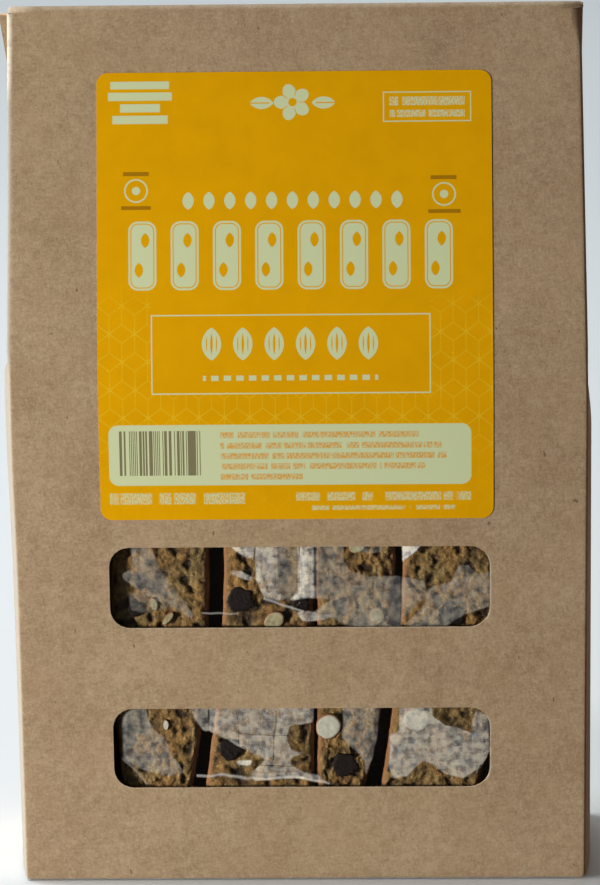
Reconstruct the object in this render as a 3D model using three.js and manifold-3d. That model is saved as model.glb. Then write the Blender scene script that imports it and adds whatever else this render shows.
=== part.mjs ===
// A shut upright kraft carton of biscotti: folded board with an inward gusset at each end of its
// pitched top, a label on the front, two windows backed by film, and the biscotti behind them.
// Millimetres, +Z up, the front faces -Y. The origin is under the middle of the carton's box.
import * as THREE from 'three';
import { mergeVertices } from 'three/addons/utils/BufferGeometryUtils.js';
import Module from 'manifold-3d';

const wasm = await Module();
wasm.setup();

// ---- driving dimensions ----
const WIDTH = 178; // between the front panel's two upright folds
const DEPTH = 64; // front face to back face, below the shoulder
const HEIGHT = 275.4; // to the top of the folded ridge
const SHOULDER = 162; // crease where each side panel turns inward
const BOARD = 0.7; // paperboard thickness
const FOLD_RADIUS = 0.9; // outside radius of the upright folds
const FOLD_STEPS = 3;
const BASE_ROUND = 0.7; // turn of the board into the bottom
const BEND_RADIUS = 150; // soft bend of the front and back at the shoulder
const BEND_STEPS = 6;
const RIDGE_HALF = 2.5 * BOARD; // half the stack of boards at the ridge
const RIDGE_ROUND = RIDGE_HALF + BOARD / 2; // radius of the fold over the ridge
const RIDGE_SEAM = 4; // glued height under the ridge
const GUSSET = DEPTH / 2; // how far in the gusset's point lies at the ridge
const TOP_TURN = { size: 1.6, length: 10 }; // the turned-back top corners
const BOW = {
  left: { foot: 3.1, shoulder: 4.4 },
  right: { foot: 3.6, shoulder: 3.1 },
  start: 154, // height where the bow begins to fade
  end: 217,
  left_over: 0.1, // share of it that stays at the ridge
};
const BOW_STEPS = 8;

const FLAP = { length: 35, tuck: 0.05 }; // closing flap, folded over the ridge and down the back
const EAR = { out: 4.4, top: 1, length: 18 }; // its flared end, on the left

const WINDOW = { width: 119.1, height: 26.2, radius: 6.3, x: -0.2, levels: [43.9, 96.6] };
const FILM = { margin: 12, thickness: 0.3 };
const LABEL = { width: 122.3, bottom: 118.7, top: 255.3, x: -0.7, radius: 3.6, thickness: 0.35 };
const LABEL_CORNER_STEPS = 4;
const GAP = 0.3; // between pieces that touch
const SLIVER = 0.02; // faces thinner than this are merged away

const BISCOTTO = { front: -28.9, thickness: 19, length: 150, round: 3.5, rows: 22, crag: 0.4 };
const CRAG_SIZE = 8;
// the edges of each cut face: furthest x, how fast it draws in, and at what height it is furthest
const PIECES = [
  { name: 'biscotto_1', left: [-60.6, -0.0006, 98], right: [-28.5, 0.0011, 105] },
  { name: 'biscotto_2', left: [-24.2, 0.0011, 112], right: [4.0, 0.0009, 105] },
  { name: 'biscotto_3', left: [4.9, 0.0009, 105], right: [30.1, 0.0016, 109] },
  { name: 'biscotto_4', left: [31.9, 0.0011, 112], right: [61.0, 0.0007, 105] },
];
const ALMOND = { radius: 4.1, height: 1.4, proud: 0.5 };
const CHIP = { radius: 4.4, height: 5, proud: 0.8 };
const TOPPING_SIDES = 10;
// toppings on the front cut faces: piece, kind, x, z, size and turn in degrees
const FRONT_TOPPINGS = [
  [0, ALMOND, -46.2, 90.8, 0.55, 20],
  [0, ALMOND, -41.8, 86.0, 0.75, -15],
  [0, ALMOND, -43.2, 51.0, 0.5, 10],
  [0, CHIP, -52.0, 89.0, 0.6, 10],
  [1, CHIP, -18.9, 92.0, 1.0, 0],
  [1, ALMOND, -8.4, 85.1, 0.95, 40],
  [1, CHIP, -23.0, 42.6, 0.85, 25],
  [1, CHIP, 0.0, 90.3, 0.6, -20],
  [2, ALMOND, 8.2, 50.1, 1.0, 0],
  [2, ALMOND, 17.9, 106.8, 0.8, 25],
  [2, ALMOND, 24.0, 86.6, 0.75, -30],
  [2, CHIP, 13.4, 37.4, 0.95, 15],
  [3, ALMOND, 36.0, 52.3, 1.0, 5],
  [3, CHIP, 47.2, 86.8, 1.0, -10],
];
const BACK_TOPPINGS = { count: 4, from: 30, apart: 27 }; // on each back face, by a seeded rule

// ---- derived values ----
const LOFT_TOP = HEIGHT - RIDGE_ROUND;
const LEAN = Math.atan((DEPTH / 2 - RIDGE_HALF) / (LOFT_TOP - SHOULDER));
const WALL = BOARD / Math.cos(LEAN); // the leaning board, measured along Y
const BEND_REACH = BEND_RADIUS * Math.tan(LEAN / 2);
const FLOOR = 2 * BOARD; // bottom flaps lie two deep

// ---- shape of the carton ----

/** Distance from the middle plane to the outer front or back face at height z. */
function faceAt(z) {
  const bendStart = SHOULDER - BEND_REACH;
  const bendEnd = SHOULDER + BEND_REACH * Math.cos(LEAN);
  if (z <= bendStart) {
    return DEPTH / 2;
  }
  if (z < bendEnd) {
    return DEPTH / 2 - BEND_RADIUS + Math.sqrt(BEND_RADIUS ** 2 - (z - bendStart) ** 2);
  }
  return RIDGE_HALF + (LOFT_TOP - z) * Math.tan(LEAN);
}

/** How far a side panel bows out at height z and distance y from its middle. */
function bowAt(side, z, y) {
  const { foot, shoulder } = BOW[side];
  const full = foot + ((shoulder - foot) * Math.min(z, SHOULDER)) / SHOULDER;
  const kept = 1 - (1 - BOW.left_over) * THREE.MathUtils.smoothstep(z, BOW.start, BOW.end);
  return full * kept * (1 - (y / (faceAt(z) - FOLD_RADIUS)) ** 2);
}

/** How far the gusset has turned in from the side at height z. */
function gussetAt(z) {
  return (GUSSET * Math.max(0, z - SHOULDER)) / (LOFT_TOP - SHOULDER);
}

function bothEnds(z, endPoints) {
  const right = endPoints('right', z);
  const left = endPoints('left', z).map(([x, y]) => [-x, y]);
  return [...right, ...left.reverse()].map(([x, y]) => new THREE.Vector3(x, y, z));
}

/** The carton's outer outline at one end, from front to back. */
function outerEnd(side, z) {
  const foot = Math.max(0, BASE_ROUND - z);
  const face = faceAt(z) - foot;
  const half = WIDTH / 2 - foot;
  const turn = TOP_TURN.size * THREE.MathUtils.smoothstep(z, LOFT_TOP - TOP_TURN.length, LOFT_TOP);
  const fold = [];
  for (let i = 0; i <= FOLD_STEPS; i += 1) {
    const angle = ((i / FOLD_STEPS) * Math.PI) / 2;
    const x = half - (FOLD_RADIUS + turn) * (1 - Math.sin(angle));
    fold.push([x, face - FOLD_RADIUS * (1 - Math.cos(angle))]);
  }
  const inner = face - 2 * WALL; // the gusset's folded strips lie against the front and back
  const lip = inner + BOARD / 3;
  fold.push([half + bowAt(side, z, lip), lip]);
  const gusset = [];
  for (let i = 0; i <= BOW_STEPS; i += 1) {
    const y = inner * ((2 * i) / BOW_STEPS - 1);
    gusset.push([half + bowAt(side, z, y) - gussetAt(z), y]);
  }
  return [...fold.map(([x, y]) => [x, -y]), ...gusset, ...fold.reverse()];
}

/** The outline of the space inside at one end, from front to back. */
function innerEnd(side, z) {
  const face = faceAt(z) - WALL;
  const points = [];
  for (let i = 0; i <= BOW_STEPS; i += 1) {
    const y = face * ((2 * i) / BOW_STEPS - 1);
    const x = WIDTH / 2 - WALL + Math.max(0, bowAt(side, z, y)) - gussetAt(z);
    points.push([x - 0.01 * (y / face) ** 2, y]);
  }
  return points;
}

function evenSteps(from, to, count) {
  return Array.from({ length: count + 1 }, (_, i) => from + ((to - from) * i) / count);
}

function cartonLevels(bottom, top) {
  const between = [
    ...evenSteps(35, SHOULDER - BEND_REACH, 2),
    ...evenSteps(SHOULDER - BEND_REACH, SHOULDER + BEND_REACH, BEND_STEPS).slice(1),
    ...evenSteps(BOW.end - 15, LOFT_TOP - TOP_TURN.length, 3),
  ];
  return [...bottom, ...between.filter((z) => z < top[0] - 1), ...top];
}

// ---- mesh helpers ----

/** A closed skin through outlines that all have the same number of points. */
function loft(outlines) {
  const count = outlines[0].length;
  const index = [];
  for (let row = 0; row < outlines.length - 1; row += 1) {
    for (let i = 0; i < count; i += 1) {
      const a = row * count + i;
      const b = row * count + ((i + 1) % count);
      index.push(a, b, b + count, a, b + count, a + count);
    }
  }
  for (const row of [0, outlines.length - 1]) {
    const flat = outlines[row].map((point) => new THREE.Vector2(point.x, point.y));
    for (const corners of THREE.ShapeUtils.triangulateShape(flat, [])) {
      const face = corners.map((corner) => row * count + corner);
      index.push(...(row === 0 ? face.reverse() : face));
    }
  }
  const geometry = new THREE.BufferGeometry();
  const positions = outlines.flat().flatMap((point) => point.toArray());
  geometry.setAttribute('position', new THREE.Float32BufferAttribute(positions, 3));
  geometry.setIndex(index);
  return geometry;
}

function toSolid(geometry) {
  const bare = geometry.clone();
  bare.deleteAttribute('normal');
  bare.deleteAttribute('uv');
  const merged = mergeVertices(bare, 1e-5);
  const mesh = new wasm.Mesh({
    numProp: 3,
    vertProperties: new Float32Array(merged.attributes.position.array),
    triVerts: new Uint32Array(merged.index.array),
  });
  return new wasm.Manifold(mesh);
}

/** A solid's skin, without the slivers that joining and cutting leave. */
function toGeometry(solid) {
  const mesh = solid.simplify(SLIVER).getMesh();
  const geometry = new THREE.BufferGeometry();
  geometry.setAttribute('position', new THREE.BufferAttribute(mesh.vertProperties, 3));
  geometry.setIndex(new THREE.BufferAttribute(mesh.triVerts, 1));
  return geometry;
}

// ---- the carton ----

/** The closing flap with its flared end, flat on the back of the pitched top. */
function flapGeometry() {
  const edge = WIDTH / 2;
  const shape = new THREE.Shape();
  shape.moveTo(-edge, 0);
  shape.lineTo(-edge, -FLAP.length);
  shape.lineTo(edge - EAR.out / 2, -FLAP.length);
  shape.lineTo(edge - EAR.out / 2, -EAR.length - EAR.out);
  shape.lineTo(edge + EAR.out / 2, -EAR.length);
  shape.lineTo(edge + EAR.out, -EAR.top);
  shape.lineTo(edge, -EAR.top);
  shape.lineTo(edge, 0);
  const flap = new THREE.ExtrudeGeometry(shape, {
    depth: BOARD + FLAP.tuck,
    bevelEnabled: false,
  });
  flap.translate(0, 0, -FLAP.tuck);
  const onBack = new THREE.Matrix4().makeBasis(
    new THREE.Vector3(-1, 0, 0),
    new THREE.Vector3(0, -Math.sin(LEAN), Math.cos(LEAN)),
    new THREE.Vector3(0, Math.cos(LEAN), Math.sin(LEAN)),
  );
  onBack.setPosition(0, RIDGE_HALF, LOFT_TOP);
  return flap.applyMatrix4(onBack);
}

function ridgeGeometry() {
  const ridge = new THREE.CylinderGeometry(RIDGE_ROUND, RIDGE_ROUND, WIDTH - 2 * BOARD, 16);
  ridge.rotateZ(Math.PI / 2);
  return ridge.translate(0, BOARD / 2, LOFT_TOP);
}

function windowCutter(level) {
  const { width, height, radius, x } = WINDOW;
  const reach = { x: width / 2 - radius, z: height / 2 - radius };
  const shape = new THREE.Shape();
  shape.absarc(reach.x, reach.z, radius, 0, Math.PI / 2);
  shape.absarc(-reach.x, reach.z, radius, Math.PI / 2, Math.PI);
  shape.absarc(-reach.x, -reach.z, radius, Math.PI, 1.5 * Math.PI);
  shape.absarc(reach.x, -reach.z, radius, 1.5 * Math.PI, 2 * Math.PI);
  const cutter = new THREE.ExtrudeGeometry(shape, {
    depth: 4 * BOARD,
    curveSegments: 6,
    bevelEnabled: false,
  });
  cutter.rotateX(Math.PI / 2);
  return cutter.translate(x, -DEPTH / 2 + 2 * BOARD, level);
}

function cartonGeometry() {
  const outerLevels = cartonLevels([0, BASE_ROUND], [LOFT_TOP - TOP_TURN.length / 2, LOFT_TOP]);
  const innerLevels = cartonLevels([FLOOR], [LOFT_TOP - RIDGE_SEAM]);
  const outside = toSolid(loft(outerLevels.map((z) => bothEnds(z, outerEnd))));
  const inside = toSolid(loft(innerLevels.map((z) => bothEnds(z, innerEnd))));
  let carton = outside.add(toSolid(flapGeometry())).add(toSolid(ridgeGeometry()));
  carton = carton.subtract(inside);
  for (const level of WINDOW.levels) {
    carton = carton.subtract(toSolid(windowCutter(level)));
  }
  return toGeometry(carton);
}

// ---- the label and the film ----

/** The label's strip at height z, offset from the front face; it narrows at its round corners. */
function labelStrip(z) {
  const { width, bottom, top, x, radius, thickness } = LABEL;
  const intoCorner = Math.max(0, radius - Math.min(z - bottom, top - z));
  const half = width / 2 - radius + Math.sqrt(radius ** 2 - intoCorner ** 2);
  const near = -(faceAt(z) + GAP / Math.cos(LEAN));
  const far = near - thickness;
  const corners = [[x - half, far], [x + half, far], [x + half, near], [x - half, near]];
  return corners.map(([cornerX, y]) => new THREE.Vector3(cornerX, y, z));
}

function labelGeometry() {
  const { bottom, top, radius } = LABEL;
  const corner = Array.from({ length: LABEL_CORNER_STEPS }, (_, i) => {
    const angle = ((i + 0.25) / LABEL_CORNER_STEPS) * (Math.PI / 2);
    return radius * (1 - Math.cos(angle));
  });
  const levels = [
    ...corner.map((rise) => bottom + rise),
    bottom + radius,
    ...evenSteps(SHOULDER - BEND_REACH, SHOULDER + BEND_REACH, BEND_STEPS),
    top - radius,
    ...corner.reverse().map((rise) => top - rise),
  ];
  return loft(levels.map(labelStrip));
}

function filmGeometry() {
  const { width, height, x, levels } = WINDOW;
  const low = levels[0] - height / 2 - FILM.margin;
  const high = levels[1] + height / 2 + FILM.margin;
  const film = new THREE.BoxGeometry(width + 2 * FILM.margin, FILM.thickness, high - low);
  const face = DEPTH / 2 - WALL - GAP - FILM.thickness / 2;
  return film.translate(x, -face, (low + high) / 2);
}

// ---- the biscotti ----

function hash(...numbers) {
  const wave = Math.sin(numbers.reduce((sum, n, i) => sum + n * (127.1 + 184.6 * i), 0)) * 43758.5453;
  return wave - Math.floor(wave);
}

/** Smooth noise from -1 to 1. */
function crags(x, y, z) {
  const cell = [x, y, z].map(Math.floor);
  const part = [x - cell[0], y - cell[1], z - cell[2]].map((t) => t * t * (3 - 2 * t));
  let sum = 0;
  for (let corner = 0; corner < 8; corner += 1) {
    const step = [corner & 1, (corner >> 1) & 1, corner >> 2];
    const weight = step.reduce((w, s, i) => w * (s ? part[i] : 1 - part[i]), 1);
    sum += weight * hash(cell[0] + step[0], cell[1] + step[1], cell[2] + step[2]);
  }
  return 2 * sum - 1;
}

/** Points and outward directions round a rectangle with round corners. */
function roundedRing(halfWidth, halfDepth, round) {
  const radius = Math.min(round, 0.9 * halfWidth, 0.9 * halfDepth);
  const ring = [];
  const cornerSigns = [[1, -1], [1, 1], [-1, 1], [-1, -1]];
  cornerSigns.forEach(([sx, sy], quarter) => {
    for (const turn of [0, 0.5, 1]) {
      const angle = ((quarter + turn - 1) * Math.PI) / 2;
      const out = [Math.cos(angle), Math.sin(angle)];
      const x = sx * (halfWidth - radius) + radius * out[0];
      ring.push({ x, y: sy * (halfDepth - radius) + radius * out[1], out });
    }
    const [nx, ny] = cornerSigns[(quarter + 1) % 4];
    const side = quarter % 2 === 0 ? [sx, 0] : [0, sy];
    const inner = quarter % 2 === 0 ? 2 : 4;
    for (let i = 1; i <= inner; i += 1) {
      const t = i / (inner + 1);
      const x = THREE.MathUtils.lerp(sx, nx, t) * (halfWidth - radius) + side[0] * radius;
      const y = THREE.MathUtils.lerp(sy, ny, t) * (halfDepth - radius) + side[1] * radius;
      ring.push({ x, y, out: side });
    }
  });
  return ring;
}

function edgeAt([furthest, drawIn, level], z) {
  return furthest - drawIn * (z - level) ** 2;
}

/** One slice of the baked log, standing on its end, its cut face to the front. */
function sliceGeometry(piece, seed) {
  const { front, thickness, length, round, rows, crag } = BISCOTTO;
  const rings = [];
  for (let row = 0; row <= rows; row += 1) {
    const along = Math.sin(((2 * row) / rows - 1) * 0.48 * Math.PI);
    const ends = Math.cbrt(1 - along ** 6);
    const z = FLOOR + GAP + (length / 2) * (1 + along);
    const left = edgeAt(piece.left, z);
    const right = edgeAt(piece.right, z);
    const halfWidth = ((right - left) / 2) * ends;
    const ring = roundedRing(halfWidth, (thickness / 2) * (0.35 + 0.65 * ends), round);
    rings.push(ring.map(({ x, y, out }) => {
      const rough = crags((x + left) / CRAG_SIZE, y / CRAG_SIZE + seed, z / CRAG_SIZE);
      const relief = crag * (Math.abs(out[1]) * rough + Math.abs(out[0]) * 0.5 * (rough - 1));
      return new THREE.Vector3(
        (left + right) / 2 + x + relief * out[0],
        front + thickness / 2 + y + relief * out[1],
        z,
      );
    }));
  }
  return loft(rings);
}

/** An almond slice or a chocolate chip, half sunk in the front (-1) or back (1) cut face. */
function toppingGeometry(kind, x, z, size, turn, side) {
  const { radius, height, proud } = kind;
  const profile = [
    [0, -height / 2],
    [radius, kind === CHIP ? -height / 4 : -height / 5],
    [kind === CHIP ? 0.6 * radius : radius, height / 5],
    [0, height / 2],
  ].map(([r, h]) => new THREE.Vector2(r * size, h));
  const topping = new THREE.LatheGeometry(profile, TOPPING_SIDES);
  topping.scale(0.88, 1, 1);
  topping.rotateY(THREE.MathUtils.degToRad(turn));
  topping.rotateX(((1 - side) * Math.PI) / 2 + THREE.MathUtils.degToRad(turn / 8));
  const { front, thickness } = BISCOTTO;
  const face = side === -1 ? front : front + thickness;
  return topping.translate(x, face + side * (proud - height / 2), z);
}

function biscottoGeometry(piece, seed) {
  let biscotto = toSolid(sliceGeometry(piece, seed));
  const toppings = FRONT_TOPPINGS.filter(([index]) => index === seed).map(
    ([, kind, x, z, size, turn]) => toppingGeometry(kind, x, z, size, turn, -1),
  );
  for (let i = 0; i < BACK_TOPPINGS.count; i += 1) {
    const z = BACK_TOPPINGS.from + BACK_TOPPINGS.apart * (i + 0.4 * hash(seed, i, 1));
    const left = edgeAt(piece.left, z);
    const right = edgeAt(piece.right, z);
    const x = THREE.MathUtils.lerp(left, right, 0.3 + 0.4 * hash(seed, i, 2));
    const kind = i % 2 === 0 ? ALMOND : CHIP;
    toppings.push(toppingGeometry(kind, x, z, 0.9, 60 * hash(seed, i, 3), 1));
  }
  for (const topping of toppings) {
    biscotto = biscotto.add(toSolid(topping));
  }
  return toGeometry(biscotto);
}

// ---- the whole pack ----

function namedMesh(name, geometry, color, roughness, metalness = 0) {
  const material = new THREE.MeshStandardMaterial({ color, roughness, metalness });
  const mesh = new THREE.Mesh(geometry, material);
  mesh.name = name;
  return mesh;
}

const pack = new THREE.Group();
pack.add(namedMesh('carton', cartonGeometry(), 0x9f8563, 0.85));
pack.add(namedMesh('label', labelGeometry(), 0xdd9b05, 0.45));
pack.add(namedMesh('window_film', filmGeometry(), 0xe8eef2, 0.08));
PIECES.forEach((piece, index) => {
  pack.add(namedMesh(piece.name, biscottoGeometry(piece, index), 0xa9824b, 0.9));
});

const box = new THREE.Box3().setFromObject(pack);
const middle = box.getCenter(new THREE.Vector3());
pack.position.set(-middle.x, -middle.y, -box.min.z);

export default pack;
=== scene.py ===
"""A shut kraft carton of almond biscotti, with a printed label and two windows backed by film.

Laid out as an add-on and run as a script. Lengths in this file are millimetres in the carton's
own coordinates, whose origin is under the middle of its base; place() turns them into metres.
"""

import math

import bpy
from mathutils import Matrix, Vector, noise


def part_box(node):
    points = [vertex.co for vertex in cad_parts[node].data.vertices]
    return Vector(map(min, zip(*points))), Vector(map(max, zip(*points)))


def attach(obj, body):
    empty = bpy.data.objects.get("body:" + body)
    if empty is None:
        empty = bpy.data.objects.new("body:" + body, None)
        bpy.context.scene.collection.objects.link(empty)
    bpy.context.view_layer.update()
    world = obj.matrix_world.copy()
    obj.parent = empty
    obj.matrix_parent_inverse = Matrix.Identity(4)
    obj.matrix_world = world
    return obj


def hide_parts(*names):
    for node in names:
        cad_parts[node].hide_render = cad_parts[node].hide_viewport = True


bl_info = {
    "name": "Biscotti Carton",
    "version": (1, 0, 0),
    "blender": (4, 5, 0),
    "location": "3D View > Sidebar > Carton",
    "description": "Builds a shut kraft carton of biscotti with its label, films and slices",
    "category": "Add Mesh",
}

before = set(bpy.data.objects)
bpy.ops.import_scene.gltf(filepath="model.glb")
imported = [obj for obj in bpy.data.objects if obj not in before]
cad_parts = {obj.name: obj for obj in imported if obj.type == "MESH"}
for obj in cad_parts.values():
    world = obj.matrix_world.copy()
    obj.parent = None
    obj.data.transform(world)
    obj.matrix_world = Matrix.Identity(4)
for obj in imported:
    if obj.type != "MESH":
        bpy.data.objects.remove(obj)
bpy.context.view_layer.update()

MM = 0.001

# ---- the carton's form ----
HALF_WIDTH = 89.0
HALF_DEPTH = 32.0
HEIGHT = 275.4
SHOULDER = 162.0
BOARD = 0.7
FOLD_RADIUS = 0.9
BEND_RADIUS = 150.0
RIDGE_HALF = 2.5 * BOARD
RIDGE_ROUND = RIDGE_HALF + BOARD / 2
# how far the front turns back at each end of the ridge, over what height, and how deep
TOP_TURN = {"left": 0.25, "right": 2.6, "length": 13.0, "depth": 0.25}
# how far each side stands out at its foot and shoulder, and between which heights that fades
BOW = {"left": (3.1, 3.8), "right": (2.8, 2.3)}
BOW_FADE = {"left": (154.0, 217.0), "right": (143.0, 168.0)}
BOW_LEFT_OVER = 0.1
# how far each front fold strays from straight, by height
DRIFT = {
    "left": ((0.0, 0.0), (100.0, 0.0), (135.0, 0.6), (165.0, 0.6), (224.0, 0.0), (280.0, 0.0)),
    "right": ((0.0, 0.8), (155.0, 0.8), (262.0, -0.55), (280.0, 0.0)),
}
LOFT_TOP = HEIGHT - RIDGE_ROUND
LEAN = math.atan((HALF_DEPTH - RIDGE_HALF) / (LOFT_TOP - SHOULDER))
WALL = BOARD / math.cos(LEAN)
BEND_REACH = BEND_RADIUS * math.tan(LEAN / 2)
BEND_START = SHOULDER - BEND_REACH
BEND_END = SHOULDER + BEND_REACH * math.cos(LEAN)

# ---- the carton's board ----
SHEET = 0.6
# columns of the grid over a panel, a fold, the strip beside it and a gusset
FRONT_STEPS = 44
ARC_STEPS = 6
STRIP_STEPS = 3
GUSSET_STEPS = 16
END_COLUMNS = 2 * (ARC_STEPS + STRIP_STEPS) + GUSSET_STEPS
ALL_COLUMNS = 2 * (FRONT_STEPS + END_COLUMNS)
# how near to a fold the panel's outermost columns stand, as a share of its width
FOLD_HUG = 0.004
# first height, spacing and number of the rows above the rounded foot
BOARD_ROWS = ((4.0, 4.0, 34), (139.0, 2.9, 8), (162.0, 2.4, 9), (185.0, 4.0, 20), (263.5, 2.45, 4))
FOLD_BLEND = 12.0
FOLD_SHOULDER = 3.6
FOLD_ROLL = 0.1
FOLD_SWELL = {"left": 0.65, "right": 0.1}
FOOT_RADIUS = 0.9
FOOT_STEPS = 4
INNER_FLAP_RISE = 0.65
OUTER_FLAP_END = 30.4
INNER_FLAP_END = -24.0
RIDGE_STEPS = 10
RIDGE_ENDS = (89.4, 89.1)
# the rounding of each end of the ridge, which fades out between two angles over it
RIDGE_END = {"reach": 1.2, "drop": 0.8, "from": 1.0, "to": 2.6}
BOTTOM_FLAP_ROWS = 8
# how far down from the ridge each row of the closing flap lies
FLAP_ROWS = (0.8, 1.0, 3.0, 6.0, 10.0, 14.0, 18.0, 22.4, 26.0, 30.5, 35.0)
FLAP_LIFT = 0.5
FLAP_WAVE = {"size": 30.0, "height": 0.25}
# the flap's flared left end, and how much of it each of the end columns takes
EAR = {"out": 3.2, "top": 1.0, "low": 20.0, "narrowed": 0.36, "curl": 1.3}
EAR_SHARE = (1.0, 0.5, 0.16)
WAVE = {"size": 46.0, "height": 0.14, "at_folds": 14.0, "at_ridge": 20.0, "at_foot": 12.0}
FRONT_SEED, BACK_SEED = 1.7, 9.2
# where the board is rubbed and carries a painted highlight: how near to a fold it starts and is full,
# heights, and shares
RUBBED_AND_LIT = {"side": (1.6, 0.4), "front": (2.2, 0.7), "height": (235.0, 262.0), "ridge": (1.5, 0.5)}
# where the lit left side gets a painted grey sheen: at the fold, over the strip beside it, and on to
# the side panel
SHEEN_REACH = {"fold": (0.9, 0.1), "strip": (1.5, 4.0), "side": (8.0, 24.0), "strip_share": 0.25}

WINDOW = {"width": 119.1, "height": 26.2, "radius": 6.3, "x": -0.2}
WINDOW_LEVELS = (43.9, 96.6)
BETWEEN_WINDOWS = (68.0, 72.0)
# the part of the front's grid that gives way to each window: its columns, and rows of levels
WINDOW_COLUMNS = (6, 38)
WINDOW_ROWS = ((7, 15), (20, 28))
CORNER_CELLS = 3
WINDOW_RINGS = (0.0, 0.45, 0.85, 1.0)

# ---- the label ----
LABEL = {"width": 122.3, "bottom": 118.7, "top": 255.3, "x": -0.7, "radius": 3.6}
LABEL_SHEET = 0.13
LABEL_OFF = 0.03
LABEL_ROWS = 34
LABEL_COLUMNS = 16
LABEL_CORNER_STEPS = 8

# ---- the film ----
FILM_MARGIN = 12.0
FILM_Y = -30.65
FILM_CELLS = (176, 124)
FILM_CREASE = 0.45
# how much of the crease depth its swell, folds and ripples take
FILM_SHARES = {"swell": 0.7, "fold": 0.35, "ripple": 0.18}
FOLD_REACH = 1.6

# ---- the biscotti ----
SLICE = {"front": -28.9, "thick": 19.0, "length": 150.0, "floor": 1.7, "round": 2.2}
SLICE_TOP = SLICE["floor"] + SLICE["length"]
CRAG = 0.85
CRUMB_SHIFT = Vector((31.0, 0.0, 7.0))
# the two sides of each slice: furthest x, how fast it draws in, and the height where it is furthest
SLICES = {
    "biscotto_1": ((-60.6, -0.0006, 98.0), (-28.5, 0.0011, 105.0)),
    "biscotto_2": ((-24.2, 0.0011, 112.0), (4.4, 0.0001, 105.0)),
    "biscotto_3": ((4.7, 0.0001, 105.0), (30.1, 0.0016, 109.0)),
    "biscotto_4": ((31.9, 0.0011, 112.0), (61.0, 0.0007, 105.0)),
}
# on the front cut faces: slice, kind, x, z, size, turn in degrees and how slim
FRONT_TOPPINGS = (
    (0, "almond", -46.2, 90.8, 0.5, 100, 0.55),
    (0, "almond", -41.8, 86.0, 0.6, 50, 0.35),
    (0, "almond", -43.2, 51.0, 0.4, 90, 0.5),
    (0, "chip", -52.0, 89.0, 0.6, 10, 0.88),
    (1, "chip", -18.9, 92.0, 1.0, 0, 0.88),
    (1, "almond", -8.4, 85.1, 0.8, 40, 0.75),
    (1, "chip", -23.0, 42.6, 0.85, 25, 0.88),
    (1, "chip", 0.0, 90.3, 0.6, -20, 0.88),
    (2, "almond", 8.2, 50.1, 1.0, 68, 0.88),
    (2, "almond", 17.9, 108.9, 0.6, 25, 0.7),
    (2, "almond", 24.0, 86.6, 0.65, 90, 0.8),
    (2, "chip", 13.4, 37.4, 0.95, 15, 0.88),
    (3, "almond", 36.0, 52.3, 1.0, 5, 0.88),
    (3, "chip", 47.2, 86.8, 1.0, -10, 0.88),
)
# cuts through each slice: axis and how many
SLICE_CUTS = ((0, 60), (1, 14), (2, 100), (2, 1))
# how high each share of those cuts lies: they come closer together behind the windows
SLICE_ROWS = (
    (0.0, SLICE["floor"]), (0.09, 26.0), (0.42, 62.0), (0.50, 79.0), (0.83, 115.0), (1.0, SLICE_TOP)
)
BACK_TOPPINGS = {"count": 4, "from": 30.0, "apart": 27.0, "size": 0.9, "slim": 0.88}
TOPPING = {"thick": 1.5, "sides": 28, "sunk": 1.0, "rim": 0.08, "dome": 0.12, "bumps": 0.12}
TOPPING_RINGS = (0.16, 0.25, 0.25, 0.18)
TOPPINGS = {
    "almond": {"radius": 4.4, "wobble": 0.08, "seed": 3.0},
    "chip": {"radius": 4.4, "wobble": 0.34, "seed": 8.0},
}

# ---- colours that no setting changes ----
# painted grey sheen for the lit left side
SHEEN_GREY_KRAFT = (0.34, 0.325, 0.285)
# pale colour of rubbed wear and painted highlight on the lit folds, the ridge and the window edges
RUBBED_AND_LIT_KRAFT = (0.72, 0.64, 0.50)
LINE_YELLOW = (0.82, 0.52, 0.02)
DARK_INK = (0.085, 0.03, 0.008)
STROKE_BROWN = (0.74, 0.32, 0.015)
GREY_CRUMB = ((0.12, 0.071, 0.019), (0.34, 0.232, 0.082))
PALE_SPECK = (0.50, 0.37, 0.155)
ALMOND_MEAT = ((0.47, 0.45, 0.34), (0.62, 0.60, 0.48))
# painted shade for the almonds in the upper window
SHADED_MEAT = ((0.26, 0.22, 0.11), (0.44, 0.39, 0.22))
ALMOND_SKIN = ((0.16, 0.06, 0.02), (0.30, 0.13, 0.05))
CHOCOLATE = ((0.004, 0.0015, 0.001), (0.013, 0.0045, 0.0025))
STAGE_PAPER = ((0.785, 0.815, 0.835), (0.82, 0.85, 0.87))
ROOM_COLOUR = (0.66, 0.73, 0.78, 1.0)


def own_shift():
    """How far the carton's own middle lies from the frame's origin."""
    carton_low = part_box("carton")[0]
    label_low, label_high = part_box("label")
    across = (label_low.x + label_high.x) / 2 - LABEL["x"] * MM
    return Vector((across, carton_low.y + HALF_DEPTH * MM, 0.0))


SHIFT = own_shift()


def place(x, y, z):
    """A point of the carton in the frame's metres."""
    return Vector((x, y, z)) * MM + SHIFT


# ---- settings ----


class CartonSettings(bpy.types.PropertyGroup):
    sheet: bpy.props.FloatProperty(
        name="Board", description="Thickness of the board", default=SHEET * MM, unit="LENGTH"
    )
    wave: bpy.props.FloatProperty(
        name="Waviness",
        description="How far the board's faces wander from flat",
        default=WAVE["height"] * MM,
        unit="LENGTH",
    )
    kraft: bpy.props.FloatVectorProperty(
        name="Kraft",
        description="Colour of the board's outside",
        default=(0.40, 0.279, 0.163),
        subtype="COLOR",
    )


class LabelSettings(bpy.types.PropertyGroup):
    sheet: bpy.props.FloatProperty(
        name="Paper", description="Thickness of the paper", default=LABEL_SHEET * MM, unit="LENGTH"
    )
    ground: bpy.props.FloatVectorProperty(
        name="Ground", description="Printed ground", default=(0.80, 0.385, 0.001), subtype="COLOR"
    )
    ink: bpy.props.FloatVectorProperty(
        name="Cream", description="Cream of the print", default=(0.66, 0.71, 0.41), subtype="COLOR"
    )


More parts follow.
